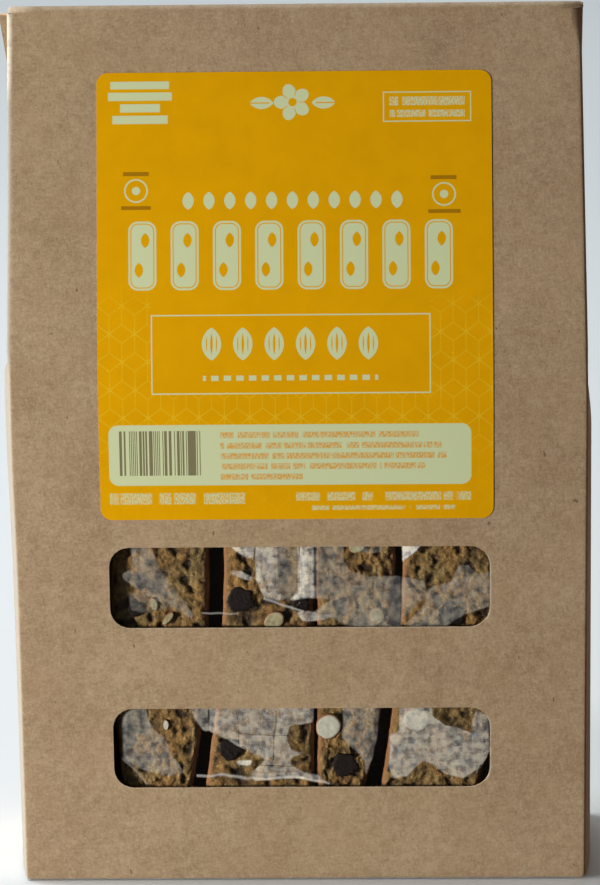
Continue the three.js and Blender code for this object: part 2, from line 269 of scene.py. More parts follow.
class FilmSettings(bpy.types.PropertyGroup):
    crease: bpy.props.FloatProperty(
        name="Crinkle", description="Depth of the creases", default=FILM_CREASE * MM, unit="LENGTH"
    )
    # tint of the painted reflections on the film
    glare_tint: bpy.props.FloatVectorProperty(
        name="Glare", description="Colour of the veil", default=(0.90, 0.875, 0.82), subtype="COLOR"
    )


class BiscottiSettings(bpy.types.PropertyGroup):
    crag: bpy.props.FloatProperty(
        name="Crag", description="Roughness of the cut faces", default=CRAG * MM, unit="LENGTH"
    )
    crumb: bpy.props.FloatVectorProperty(
        name="Crumb", description="Colour of the crumb", default=(0.295, 0.152, 0.038), subtype="COLOR"
    )
    crust: bpy.props.FloatVectorProperty(
        name="Crust", description="Colour of the crust", default=(0.20, 0.09, 0.032), subtype="COLOR"
    )


class StageSettings(bpy.types.PropertyGroup):
    lens: bpy.props.FloatProperty(
        name="Lens", description="Focal length of the camera", default=146.09, unit="CAMERA"
    )
    key: bpy.props.FloatProperty(
        name="Key", description="Power of the main light", default=42.0, unit="POWER"
    )
    room: bpy.props.FloatProperty(
        name="Room", description="Strength of the room's soft light", default=0.05, min=0.0
    )


# ---- working with meshes ----


def start_clean():
    """Leaves edit mode and deselects everything, so an operator acts on new work only."""
    if bpy.context.object and bpy.context.object.mode != "OBJECT":
        bpy.ops.object.mode_set(mode="OBJECT")
    bpy.ops.object.select_all(action="DESELECT")


def select_only(piece):
    start_clean()
    piece.select_set(True)
    bpy.context.view_layer.objects.active = piece


def grid_piece(name, columns, rows, point):
    """A grid primitive whose vertices are moved to point(column, row)."""
    start_clean()
    bpy.ops.mesh.primitive_grid_add(x_subdivisions=columns, y_subdivisions=rows, size=1)
    piece = bpy.context.object
    piece.name = name
    for vertex in piece.data.vertices:
        column = round((vertex.co.x + 0.5) * columns)
        row = round((vertex.co.y + 0.5) * rows)
        vertex.co = point(column, row)
    return piece


def join(name, pieces, weld=1e-6):
    """One object of several, with the vertices that meet welded."""
    start_clean()
    for piece in pieces:
        piece.select_set(True)
    bpy.context.view_layer.objects.active = pieces[0]
    bpy.ops.object.join()
    piece = bpy.context.object
    piece.name = name
    if weld:
        bpy.ops.object.mode_set(mode="EDIT")
        bpy.ops.mesh.select_all(action="SELECT")
        bpy.ops.mesh.remove_doubles(threshold=weld)
        bpy.ops.object.mode_set(mode="OBJECT")
    return piece


def vertex_row(piece, columns, row):
    """The places of one row of a grid piece."""
    first = row * (columns + 1)
    return [piece.data.vertices[first + column].co.copy() for column in range(columns + 1)]


def add_modifier(piece, kind, **settings):
    """Adds a modifier and applies it at once."""
    select_only(piece)
    modifier = piece.modifiers.new(kind.title(), kind)
    for key, value in settings.items():
        setattr(modifier, key, value)
    bpy.ops.object.modifier_apply(modifier=modifier.name)


def smooth_by_angle(piece, degrees):
    select_only(piece)
    bpy.ops.object.shade_smooth_by_angle(angle=math.radians(degrees))


def point_values(piece, name, values):
    """Stores one number for each vertex."""
    attribute = piece.data.attributes.new(name, "FLOAT", "POINT")
    attribute.data.foreach_set("value", values)


def settle(piece, slot, *nodes):
    """Puts the piece on the body and lets it stand for its nodes; the slot is not used."""
    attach(piece, "root")
    if nodes:
        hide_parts(*nodes)


def held(value, low=0.0, high=1.0):
    return min(high, max(low, value))


def smoothstep(value, low, high):
    t = held((value - low) / (high - low))
    return t * t * (3 - 2 * t)


def blend(a, b, share):
    return a + (b - a) * share


def along(stops, spot):
    """The value at a spot, from straight lines through the stops."""
    for (spot0, value0), (spot1, value1) in zip(stops, stops[1:]):
        if spot <= spot1:
            return blend(value0, value1, (spot - spot0) / (spot1 - spot0))
    return stops[-1][1]


# ---- materials ----


class Field:
    """A socket that can be used in sums: each sum adds its Math node."""

    def __init__(self, finish, socket):
        self.finish = finish
        self.socket = socket

    def calc(self, operation, *others, clamp=False):
        return self.finish.calc(operation, self, *others, clamp=clamp)

    def __add__(self, other):
        return self.calc("ADD", other)

    __radd__ = __add__

    def __sub__(self, other):
        return self.calc("SUBTRACT", other)

    def __rsub__(self, other):
        return self.finish.calc("SUBTRACT", other, self)

    def __mul__(self, other):
        return self.calc("MULTIPLY", other)

    __rmul__ = __mul__

    def __truediv__(self, other):
        return self.calc("DIVIDE", other)

    def __abs__(self):
        return self.calc("ABSOLUTE")

    def __lt__(self, other):
        return self.calc("LESS_THAN", other)

    def __gt__(self, other):
        return self.calc("GREATER_THAN", other)

    def most(self, other):
        return self.calc("MAXIMUM", other)

    def least(self, other):
        return self.calc("MINIMUM", other)

    def near(self, value, reach):
        """1 where the field lies within reach of the value."""
        return self.calc("COMPARE", value, reach)

    def ramp(self, low, high):
        """0 at low and 1 at high, and held beyond them."""
        scale = 1.0 / (high - low)
        return self.calc("MULTIPLY_ADD", scale, -low * scale, clamp=True)


def socket_name(key):
    """A shader socket's own name, from the word used for it here."""
    return key.replace("_", " ").title().replace("Ior", "IOR")


class Finish:
    """A material under construction."""

    def __init__(self, name, roughness=0.6, **shader):
        self.material = bpy.data.materials.new(name)
        self.material.use_nodes = True
        self.tree = self.material.node_tree
        self.shader = self.tree.nodes["Principled BSDF"]
        self.shader.inputs["Roughness"].default_value = roughness
        for key, value in shader.items():
            self.shader.inputs[socket_name(key)].default_value = value

    def put(self, socket, value):
        """Sets a socket, or links it to a field."""
        if isinstance(value, Field):
            self.tree.links.new(value.socket, socket)
        elif hasattr(socket.default_value, "__len__"):
            socket.default_value = (*value, 1.0)[: len(socket.default_value)]
        else:
            socket.default_value = value

    def node(self, kind, settings=None, output=0, **sockets):
        """Any node: its type, its settings, and the values or links of its sockets."""
        node = self.tree.nodes.new("ShaderNode" + kind)
        for key, value in (settings or {}).items():
            setattr(node, key, value)
        for key, value in sockets.items():
            place_in = int(key[1:]) if key[0] == "i" and key[1:].isdigit() else key
            self.put(node.inputs[place_in], value)
        return Field(self, node.outputs[output])

    def calc(self, operation, *values, clamp=False):
        settings = {"operation": operation, "use_clamp": clamp}
        sockets = {f"i{index}": value for index, value in enumerate(values)}
        return self.node("Math", settings, **sockets)

    def own_place(self, scale=1000.0, turn=(0.0, 0.0, 0.0)):
        """The piece's own coordinates, in millimetres unless scaled otherwise."""
        start = self.node("TexCoord", output="Object")
        scales = scale if hasattr(scale, "__len__") else (scale,) * 3
        turned = self.node("Mapping", Vector=start, Rotation=turn)
        return self.node("VectorMath", {"operation": "MULTIPLY"}, i0=turned, i1=scales)

    def split(self, vector):
        node = self.node("SeparateXYZ", Vector=vector).socket.node
        return [Field(self, node.outputs[axis]) for axis in range(3)]

    def noise(self, vector, scale, detail=2.0, roughness=0.5):
        return self.node("TexNoise", Vector=vector, Scale=scale, Detail=detail, Roughness=roughness)

    def streaks(self, scales, turn=(0.0, 0.0, 0.0), detail=2.0, roughness=0.5):
        """Noise in the piece's own coordinates, scaled unevenly."""
        return self.noise(self.own_place(scales, turn), 1.0, detail, roughness)

    def stored(self, name):
        """A number stored on the mesh."""
        return self.node("Attribute", {"attribute_name": name}, output="Fac")

    def mix(self, share, first, second):
        """A colour between two, by the Mix node's own colour sockets."""
        settings = {"data_type": "RGBA", "clamp_factor": True}
        return self.node("Mix", settings, output=2, i0=share, i6=first, i7=second)

    def colour(self, value):
        self.put(self.shader.inputs["Base Color"], value)

    def set(self, **values):
        for key, value in values.items():
            self.put(self.shader.inputs[socket_name(key)], value)

    def bump(self, height, distance, strength=1.0):
        normal = self.node("Bump", Height=height, Distance=distance * MM, Strength=strength)
        self.put(self.shader.inputs["Normal"], normal)


def shade(colour, *factors):
    """A colour times one factor, or times one for each channel."""
    full = factors if len(factors) == 3 else factors * 3
    return tuple(channel * factor for channel, factor in zip(colour, full))


def kraft_finish(name, colour, fleck_share=1.0, wear_and_light=True):
    """Unbleached board: cloudy pulp, short fibres lying both ways and a few dark flecks."""
    finish = Finish(name, specular_ior_level=0.15, sheen_weight=0.25, sheen_roughness=0.4)
    at = finish.own_place()
    cloud = finish.noise(at, 0.035, 3.0, 0.6)
    mottle = finish.noise(at, 0.30, 5.0, 0.58)
    lying = finish.streaks((330, 1500, 1500), (0.0, 0.12, 0.1))
    standing = finish.streaks((1500, 1500, 360), (0.1, 0.2, 0.0))
    fibre = lying.least(standing) * 0.7 + lying.most(standing) * 0.3
    grit = finish.noise(at, 1.5, 2.0, 0.7)
    tone = (cloud - 0.5) * 0.9 + (mottle - 0.5) * 1.15 + (grit - 0.5) * 1.9 + (fibre - 0.45) * 1.6
    plain = finish.mix(tone + 0.5, shade(colour, 0.77, 0.72, 0.68), shade(colour, 1.22, 1.26, 1.32))
    warmth = finish.streaks((90, 200, 60), (0.0, 0.3, 0.2), 3.0)
    plain = finish.mix(warmth.ramp(0.35, 0.7) * 0.3, plain, shade(colour, 1.03, 0.93, 0.88))
    spread = finish.streaks((900, 900, 380), (0.0, 0.25, 0.2), 0.0)
    flecks = spread.ramp(0.855, 0.895) * 0.75 * fleck_share
    specked = finish.mix(flecks, plain, shade(colour, 0.3))
    if wear_and_light:
        # painted sheen: the lit left side and its fold are greyed
        specked = finish.mix(finish.stored("faded") * 0.85, specked, SHEEN_GREY_KRAFT)
        # rubbed wear and painted highlight at the left fold, the ridge and the window edges
        rubbed_and_lit = finish.stored("fold_wear").ramp(0.35, 0.95) * mottle.ramp(0.2, 0.5)
        specked = finish.mix(rubbed_and_lit * 0.8, specked, RUBBED_AND_LIT_KRAFT)
    finish.colour(specked)
    finish.set(Roughness=fibre * 0.3 + 0.66)
    finish.bump(mottle * 0.5 + fibre * 0.7 + grit * 0.6, 0.06, 0.7)
    return finish.material


def board_edge_finish(colour):
    """The cut edge of the board: pale layers of pulp."""
    finish = Finish("board_edge", roughness=0.9)
    pulp = finish.noise(finish.own_place(), 1.6, 3.0)
    finish.colour(finish.mix(pulp, shade(colour, 1.2), shade(colour, 1.8)))
    finish.bump(pulp, 0.05, 0.4)
    return finish.material


# ---- shape of the carton ----


def face_at(z):
    """From the middle plane to the outer front or back face."""
    if z <= BEND_START:
        return HALF_DEPTH
    if z < BEND_END:
        return HALF_DEPTH - BEND_RADIUS + math.sqrt(BEND_RADIUS**2 - (z - BEND_START) ** 2)
    return RIDGE_HALF + (LOFT_TOP - z) * math.tan(LEAN)


def along_front(z):
    """Length of board from the base up to the height z."""
    if z <= BEND_START:
        return z
    if z < BEND_END:
        return BEND_START + BEND_RADIUS * math.asin((z - BEND_START) / BEND_RADIUS)
    return BEND_START + BEND_RADIUS * LEAN + (z - BEND_END) / math.cos(LEAN)


def height_on_front(length):
    """The height that lies that far up the board."""
    if length <= BEND_START:
        return length
    if length < BEND_START + BEND_RADIUS * LEAN:
        return BEND_START + BEND_RADIUS * math.sin((length - BEND_START) / BEND_RADIUS)
    return BEND_END + (length - BEND_START - BEND_RADIUS * LEAN) * math.cos(LEAN)


def bow_at(side, z, y):
    """How far a side panel stands out."""
    foot, shoulder = BOW[side]
    full = foot + (shoulder - foot) * min(z, SHOULDER) / SHOULDER
    kept = 1 - (1 - BOW_LEFT_OVER) * smoothstep(z, *BOW_FADE[side])
    return full * kept * (1 - (y / (face_at(z) - FOLD_RADIUS)) ** 2)


def gusset_at(z):
    """How far the gusset has turned in."""
    return HALF_DEPTH * max(0.0, z - SHOULDER) / (LOFT_TOP - SHOULDER)


def wave_at(x, z, seed):
    """The board's slight waviness, which fades out at the folds."""
    height = bpy.context.scene.carton_settings.wave / MM
    fade = smoothstep(HALF_WIDTH - abs(x), 0, WAVE["at_folds"])
    fade *= smoothstep(LOFT_TOP - z, 0, WAVE["at_ridge"])
    fade *= smoothstep(z, 0, WAVE["at_foot"])
    return height * fade * noise.noise(Vector((x / WAVE["size"], seed, z / WAVE["size"])))


def end_section(side, z, inset):
    """The outer outline of one end of the carton, from its front fold to its back fold."""
    face = face_at(z) - inset
    half = HALF_WIDTH - inset + along(DRIFT[side], z)
    folded = smoothstep(z, SHOULDER, SHOULDER + FOLD_BLEND)
    roll = WALL + FOLD_ROLL * smoothstep(face, 2.6, 5.0)
    radius = blend(FOLD_RADIUS, roll, folded)
    swell = FOLD_SWELL[side] * folded
    sweep = math.radians(90 + 90 * folded)
    turn = TOP_TURN[side] * smoothstep(z, LOFT_TOP - TOP_TURN["length"], LOFT_TOP)
    points = []
    for step in range(ARC_STEPS + 1):
        angle = sweep * step / ARC_STEPS
        round_it = min(1.0, angle / math.radians(90))
        x = half - radius * (1 - math.sin(angle)) - turn * (1 - round_it)
        y = -face + radius * (1 - math.cos(angle)) + TOP_TURN["depth"] * turn * round_it
        points.append((x + swell * math.sin(angle), y))
    inner = face - blend(FOLD_SHOULDER, 2 * WALL, folded)
    crease = (half + bow_at(side, z, inner) - gusset_at(z), -inner)
    start = points[-1]
    for step in range(1, STRIP_STEPS + 1):
        share = step / STRIP_STEPS
        points.append((blend(start[0], crease[0], share), blend(start[1], crease[1], share)))
    for step in range(1, GUSSET_STEPS // 2 + 1):
        y = -inner * (1 - step / (GUSSET_STEPS // 2))
        points.append((half + bow_at(side, z, y) - gusset_at(z), y))
    behind = [(x, -y) for x, y in reversed(points[:-1])]
    return points + behind


def panel_share(step):
    """How far across a panel a column stands: the outermost ones stay close to the folds."""
    if step in (1, FRONT_STEPS - 1):
        return abs(FOLD_HUG - (step > 1))
    return step / FRONT_STEPS


def section(z, inset=0.0):
    """The outline all round, from the front's left fold, and closed."""
    right = end_section("right", z, inset)
    left = [(-x, y) for x, y in reversed(end_section("left", z, inset))]
    outline = []
    for side, next_side, seed in ((left, right, FRONT_SEED), (right, left, BACK_SEED)):
        start, end = side[-1], next_side[0]
        for step in range(FRONT_STEPS):
            x = blend(start[0], end[0], panel_share(step))
            sway = wave_at(x, z, seed) if step else 0.0
            outline.append((x, start[1] + sway))
        outline += next_side[:-1]
    return outline + [outline[0]]


def board_levels():
    """Heights of the tube's rows above its rounded foot."""
    levels = [first + apart * step for first, apart, many in BOARD_ROWS for step in range(many)]
    return levels + [LOFT_TOP]


def foot_rise(column):
    """The front panel's bottom fold lies under the others by one board."""
    around = min(column, abs(column - ALL_COLUMNS))
    past = column - FRONT_STEPS if column <= ALL_COLUMNS // 2 else around
    return INNER_FLAP_RISE * held(past / ARC_STEPS)


def tube_piece():
    foot = []
    for step in range(FOOT_STEPS + 1):
        angle = math.radians(90 * step / FOOT_STEPS)
        foot.append((FOOT_RADIUS * (1 - math.cos(angle)), FOOT_RADIUS * (1 - math.sin(angle))))
    rows = [(rise, section(0.0, inset)) for rise, inset in foot]
    rows += [(z, section(z)) for z in board_levels()]

    def point(column, row):
        z, outline = rows[row]
        x, y = outline[column]
        if row <= FOOT_STEPS:
            z += foot_rise(column)
        return place(x, y, z)

    piece = grid_piece("carton_board", ALL_COLUMNS, len(rows) - 1, point)
    store_wear_and_light(piece)
    return piece


def near_edge(value, edge, reaches):
    """Grows from 0 to 1 as a value comes near an edge."""
    return smoothstep(value, edge - reaches[0], edge - reaches[1])


def wear_and_highlight_at(spot):
    """Rubbed wear with a painted highlight: 1 at the top of the lit left fold, less on the ridge, and
    0 on the open faces.
    """
    x, y, z = (spot - SHIFT) / MM
    at_fold = near_edge(abs(x), HALF_WIDTH, RUBBED_AND_LIT["side"])
    at_fold *= near_edge(abs(y), face_at(z), RUBBED_AND_LIT["front"])
    at_fold *= smoothstep(z, *RUBBED_AND_LIT["height"]) if x < 0 else 0.0
    reach, share = RUBBED_AND_LIT["ridge"]
    return max(at_fold, share * smoothstep(z, LOFT_TOP - reach, HEIGHT))


def sheen_at(spot):
    """Painted grey sheen of the lit left side: 1 on the left front fold, and less over the side panel
    behind it.
    """
    x, y, z = (spot - SHIFT) / MM
    behind = y + face_at(z)
    at_side = near_edge(-x - along(DRIFT["left"], z), HALF_WIDTH, SHEEN_REACH["fold"])
    strip = SHEEN_REACH["strip_share"] * smoothstep(behind, *SHEEN_REACH["strip"])
    panel = (1 - SHEEN_REACH["strip_share"]) * smoothstep(behind, *SHEEN_REACH["side"])
    return at_side * (1 - strip - panel)


def store_wear_and_light(piece, full=()):
    """Stores the rubbed wear with its painted highlight, and the painted grey sheen; the vertices in
    full get the whole rubbed and lit colour.
    """
    spots = [vertex.co for vertex in piece.data.vertices]
    worn_and_lit = [1.0 if index in full else wear_and_highlight_at(spot) for index, spot in enumerate(spots)]
    point_values(piece, "fold_wear", worn_and_lit)
    point_values(piece, "faded", [sheen_at(spot) for spot in spots])


def ear_out(down):
    """How far the closing flap's left end flares out."""
    if down < EAR["top"] or down > EAR["low"] + EAR["out"]:
        return 0.0
    if down <= EAR["low"]:
        share = (down - EAR["top"]) / (EAR["low"] - EAR["top"])
        return EAR["out"] * blend(1.0, EAR["narrowed"], share)
    return -EAR["out"] / 2


def closing_flap(shared):
    """The front panel carried over the ridge and down the back."""
    middle = BOARD / 2
    rows = []
    for step in range(RIDGE_STEPS + 1):
        angle = (math.pi - LEAN) * step / RIDGE_STEPS
        y = middle - RIDGE_ROUND * math.cos(angle)
        rows.append((y, LOFT_TOP + RIDGE_ROUND * math.sin(angle), None))
    start_y, start_z = rows[-1][:2]
    for down in FLAP_ROWS:
        lift = FLAP_LIFT * smoothstep(down, 20, FLAP_ROWS[-1])
        y = start_y + down * math.sin(LEAN) + lift * math.cos(LEAN)
        rows.append((y, start_z - down * math.cos(LEAN) + lift * math.sin(LEAN), down))

    def point(column, row):
        y, z, down = rows[row]
        if row == 0:
            return shared[column]
        x = blend(-RIDGE_ENDS[0], RIDGE_ENDS[1], column / FRONT_STEPS)
        from_end = min(column, FRONT_STEPS - column)
        if from_end == 1:
            x = math.copysign(RIDGE_ENDS[x > 0] - RIDGE_END["reach"], x)
        if from_end == 0 and down is None:
            angle = (math.pi - LEAN) * row / RIDGE_STEPS
            kept = smoothstep(angle, RIDGE_END["from"], RIDGE_END["to"])
            radius = RIDGE_ROUND - RIDGE_END["drop"] * (1 - kept)
            y = middle - radius * math.cos(angle)
            z = LOFT_TOP + radius * math.sin(angle)
        if down is not None:
            if column < len(EAR_SHARE):
                out = ear_out(down) * EAR_SHARE[column]
                x -= out
                y += EAR["curl"] * max(0.0, out) / EAR["out"]
            wave = noise.noise(Vector((x / FLAP_WAVE["size"], 4.1, z / FLAP_WAVE["size"])))
            y += FLAP_WAVE["height"] * wave * smoothstep(down, 3, 20)
        return place(x, y, z)

    piece = grid_piece("closing_flap", FRONT_STEPS, len(rows) - 1, point)
    # the left end of the ridge gets the full rubbed colour with its painted highlight
    store_wear_and_light(piece, [row * (FRONT_STEPS + 1) for row in range(RIDGE_STEPS // 2)])
    return piece


def bottom_flap(shared, end, rise):
    """A bottom flap that goes on from a panel's foot, as far as y = end."""

    def point(column, row):
        spot = shared[column].copy()
        if row < BOTTOM_FLAP_ROWS:
            spot.y = blend(end * MM + SHIFT.y, spot.y, row / BOTTOM_FLAP_ROWS)
            spot.z = rise * MM
        return spot

    return grid_piece("bottom_flap", FRONT_STEPS, BOTTOM_FLAP_ROWS, point)


def window_outline(level, side_cells):
    """The window's rounded edge, with one point for each step of the grid round it."""
    radius = WINDOW["radius"]
    reach_x = WINDOW["width"] / 2 - radius
    reach_z = WINDOW["height"] / 2 - radius
    corners = ((-1, -1), (1, -1), (1, 1), (-1, 1), (-1, -1))
    outline = []
    for side, (start, end) in enumerate(zip(corners, corners[1:])):
        cells = side_cells[side % 2]
        for step in range(cells):
            before = min(1.0, step / CORNER_CELLS)
            after = min(1.0, (cells - step) / CORNER_CELLS)
            angle = math.radians(270 + 90 * side + 45 * (before - after))
            share = held((step - CORNER_CELLS) / (cells - 2 * CORNER_CELLS))
            x = blend(start[0], end[0], share) * reach_x + radius * math.cos(angle)
            z = blend(start[1], end[1], share) * reach_z + radius * math.sin(angle)
            outline.append((WINDOW["x"] + x, level + z))
    return outline + [outline[0]]


def window_ring(tube, level, rows):
    """The board between a window's edge and the grid round it."""
    left, right = WINDOW_COLUMNS
    low, high = (FOOT_STEPS + row for row in rows)
    around = [(column, low) for column in range(left, right)]
    around += [(right, row) for row in range(low, high)]
    around += [(column, high) for column in range(right, left, -1)]
    around += [(left, row) for row in range(high, low, -1)]
    around.append((left, low))
    vertices = tube.data.vertices
    outer = [vertices[row * (ALL_COLUMNS + 1) + column].co.copy() for column, row in around]
    inner = window_outline(level, (right - left, high - low))

    def point(column, row):
        if row == 0:
            return outer[column]
        spot = (outer[column] - SHIFT) / MM
        x = blend(spot.x, inner[column][0], WINDOW_RINGS[row])
        z = blend(spot.z, inner[column][1], WINDOW_RINGS[row])
        return place(x, -face_at(z) + wave_at(x, z, FRONT_SEED), z)

    last = len(WINDOW_RINGS) - 1
    ring = grid_piece("window_ring", len(around) - 1, last, point)
    # the window's right end and lower edge, which face the light, get a painted highlight
    worn_and_lit = [0.0] * (last * len(around))
    for x, z in inner:
        right_end = near_edge(x - WINDOW["x"], WINDOW["width"] / 2, (3, 0))
        low_edge = near_edge(level - z, WINDOW["height"] / 2, (2, 0))
        worn_and_lit.append(max(right_end, 0.8 * low_edge))
    point_values(ring, "fold_wear", worn_and_lit)
    return ring


def clear_windows(tube):
    """Takes the grid's faces out where the windows come."""
    left, right = WINDOW_COLUMNS
    select_only(tube)
    bpy.ops.object.mode_set(mode="EDIT")
    bpy.ops.mesh.select_mode(type="FACE")
    bpy.ops.mesh.select_all(action="DESELECT")
    bpy.ops.object.mode_set(mode="OBJECT")
    for face in tube.data.polygons:
        row, column = divmod(min(face.vertices), ALL_COLUMNS + 1)
        within = any(low <= row - FOOT_STEPS < high for low, high in WINDOW_ROWS)
        face.select = within and left <= column < right
    bpy.ops.object.mode_set(mode="EDIT")
    bpy.ops.mesh.delete(type="FACE")
    bpy.ops.mesh.select_mode(type="VERT")
    bpy.ops.object.mode_set(mode="OBJECT")


class CARTON_OT_board(bpy.types.Operator):
    """Rolls the carton's board, folds its ends in, and cuts its windows"""

    bl_idname = "carton.board"
    bl_label = "Carton"

    def execute(self, context):
        settings = context.scene.carton_settings
        kraft = tuple(settings.kraft)
        tube = tube_piece()
        rows = len(tube.data.vertices) // (ALL_COLUMNS + 1)
        bottom = vertex_row(tube, ALL_COLUMNS, 0)
        top = vertex_row(tube, ALL_COLUMNS, rows - 1)
        back = FRONT_STEPS + END_COLUMNS
        flaps = [
            closing_flap(top[: FRONT_STEPS + 1]),
            bottom_flap(bottom[: FRONT_STEPS + 1], OUTER_FLAP_END, 0.0),
            bottom_flap(bottom[back : back + FRONT_STEPS + 1], INNER_FLAP_END, INNER_FLAP_RISE),
        ]
        rings = [window_ring(tube, *window) for window in zip(WINDOW_LEVELS, WINDOW_ROWS)]
        clear_windows(tube)
        carton = join("carton_board", [tube, *flaps, *rings])
        if any(edge.is_loose for edge in carton.data.edges):
            raise RuntimeError("the carton's board has loose edges")
        carton.data.materials.append(kraft_finish("kraft_outside", kraft))
        # the inside is painted darker than the outside, as shade inside the shut carton, with fewer
        # flecks
        carton.data.materials.append(kraft_finish("kraft_inside", shade(kraft, 0.8), 0.4, False))
        carton.data.materials.append(board_edge_finish(kraft))
        add_modifier(
            carton,
            "SOLIDIFY",
            thickness=settings.sheet,
            offset=-1.0,
            use_even_offset=True,
            material_offset=1,
            material_offset_rim=2,
        )
        smooth_by_angle(carton, 40)
        settle(carton, "kraft_board", "carton")
        return {"FINISHED"}


# ---- the label ----


# flat bars of the print: left, right, low and high
CREAM_BARS = (
    (-56.8, -38.6, 134.6, 137.0),
    (-57.55, -37.75, 131.0, 133.6),
    (-53.85, -41.45, 127.4, 130.0),
    (-56.25, -39.05, 123.8, 126.4),
)
DARK_BARS = (
    (-53.0, -45.0, 107.6, 108.9),
    (-53.6, -44.4, 97.1, 98.3),
    (42.2, 50.2, 105.9, 107.1),
    (41.4, 51.4, 95.4, 96.6),
)
# rows of broken strokes: left, right, low, high, how closely broken, and a seed
BOX_ROWS = ((29.6, 52.9, 128.9, 131.6, 0.35, 3.0), (29.6, 52.9, 125.3, 127.5, 0.4, 8.0))
FOOT_ROWS = (
    (-58.2, -16.1, 5.0, 8.6, 0.3, 5.0),
    (-0.2, 54.2, 5.9, 8.6, 0.28, 12.0),
    (4.7, 49.2, 2.9, 4.3, 0.42, 15.0),
)
# the cream panel's rows of small strokes: middle height and right end
PANEL_ROWS = ((27.0, 38.0), (23.6, 45.0), (20.3, 46.6), (17.0, 40.0), (13.7, 2.0))
RINGS = ((-49.0, 103.0), (46.3, 101.3))
BLOCKS = {"width": 7.88, "height": 8.72, "squash": 1.275, "u": 53.6, "v": -50.0, "line": 0.19}
NUT_PANEL = (-44.6, 41.9, 39.8)


def print_row(u, pitch, centre):
    """How far right of the middle of the nearest of a row of like marks."""
    return (u - centre).calc("WRAP", pitch / 2, -pitch / 2)


def length_of(across, onward):
    return (across * across + onward * onward).calc("SQRT")


def inside(u, v, left, right, low, high):
    """1 inside an upright box."""
    across = u.near((left + right) / 2, (right - left) / 2)
    return across * v.near((low + high) / 2, (high - low) / 2)


def round_box(u, v, centre_u, centre_v, half_u, half_v, radius):
    """Distance to a box with round corners, below zero inside it."""
    over_u = (abs(u - centre_u) - (half_u - radius)).most(0.0)
    over_v = (abs(v - centre_v) - (half_v - radius)).most(0.0)
    return length_of(over_u, over_v) - radius


def lens(across, onward, half_across, half_onward):
    """1 inside a pointed oval, from the distances to its middle lines."""
    offset = (half_onward**2 - half_across**2) / (2 * half_across)
    radius = half_across + offset
    reach = abs(across) + offset
    return (reach * reach + onward * onward) < radius**2


def frame_line(u, v, left, right, low, high, line):
    """A thin rectangular outline."""
    outer = inside(u, v, left, right, low, high)
    return outer - inside(u, v, left + line, right - line, low + line, high - line)


def broken_line(finish, u, v, left, right, low, high, words, seed):
    """A soft row of short strokes with gaps, as small print looks from afar."""
    band = inside(u, v, left, right, low, high)
    gaps = finish.noise(finish.node("CombineXYZ", X=u, Y=seed), words, 1.0).ramp(0.36, 0.42)
    at = finish.node("CombineXYZ", X=u, Y=v * 0.5 + seed)
    strokes = finish.noise(at, 2.2, 1.0).ramp(0.40, 0.58)
    return band * gaps * (strokes * 0.75 + 0.25)


def broken_lines(finish, u, v, rows):
    return sum(broken_line(finish, u, v, *row) for row in rows)


def blocks_pattern(u, v):
    """Tumbling blocks drawn in thin lines: spokes from each node to its cell's corners."""
    width, height = BLOCKS["width"], BLOCKS["height"]
    spots = []
    for shift_u, shift_v in ((0.0, 0.0), (width / 2, height)):
        du = (u + BLOCKS["u"] + shift_u).calc("WRAP", width / 2, -width / 2)
        dv = (v + BLOCKS["v"] + shift_v).calc("WRAP", height, -height) / BLOCKS["squash"]
        spots.append((abs(du), abs(dv), du * du + dv * dv))
    (u_a, v_a, d_a), (u_b, v_b, d_b) = spots
    second = d_b < d_a
    du = u_a + (u_b - u_a) * second
    dv = v_a + (v_b - v_a) * second
    slanted = abs(du * 0.5 - dv * 0.866)
    star = d_a.least(d_b).ramp(3.2, 0.2)
    return (du.least(slanted) < BLOCKS["line"]) * (star * 0.4 + 0.6)


def blossom(u, v):
    """An open flower between two leaves."""
    du = u + 0.35
    dv = v - 130.2
    reach = length_of(du, dv)
    lobes = abs((dv.calc("ARCTAN2", du) * 2.5).calc("SINE"))
    flower = (reach < lobes * 2.4 + 3.4) - (reach < 1.3)
    seam = (reach > 1.9) * (lobes < 0.11)
    leaf = lens(dv + 0.2, abs(du) - 9.6, 1.9, 3.7)
    vein = (abs(dv + 0.2) < 0.18) * (abs(du) > 7.2)
    return (flower - seam).most(0.0) + (leaf - vein).most(0.0)


def ring_mark(u, v, centre_u, centre_v):
    """A plain ring with a dot."""
    out = length_of(u - centre_u, v - centre_v)
    return out.near(3.45, 0.25) + (out < 1.3)


def small_leaves(u, v):
    row = inside(u, v, -36.1, 35.0, 96.5, 103.0)
    return lens(print_row(u, 6.46, -0.55), v - 99.8, 1.75, 2.75) * row


def upright_slices(u, v):
    """Eight upright slices, each with two nuts inside a thin rim."""
    across = print_row(u, 13.1, 5.3)
    slab = round_box(across, v, 0.0, 82.8, 4.35, 10.7, 3.0) < 0.0
    rim = round_box(across, v, 0.0, 82.8, 3.55, 9.9, 2.3).near(0.0, 0.16)
    nuts = lens(across - 0.9, v - 87.6, 1.3, 2.3) + lens(across + 1.1, v - 78.4, 1.3, 2.3)
    return (slab - nuts - rim).most(0.0) * inside(u, v, -53.9, 51.4, 72.0, 93.6)


def nut_panel(u, v):
    """Six almonds over a row of dashes, in a thin frame."""
    across = print_row(u, 9.7, 3.25)
    onward = v - 55.4
    groove = lens(across, onward, 0.42, 3.4) + lens(abs(across) - 1.55, onward, 0.2, 2.6)
    nuts = (lens(across, onward, 3.0, 5.1) - groove).most(0.0)
    dashes = abs(print_row(u, 3.9, -1.5)) < 1.15
    panel = frame_line(u, v, *NUT_PANEL, 64.5, 0.42)
    panel = panel + nuts * inside(u, v, -30.8, 27.6, 50.0, 61.0)
    return panel + dashes * inside(u, v, -28.6, 25.6, 44.0, 45.6)


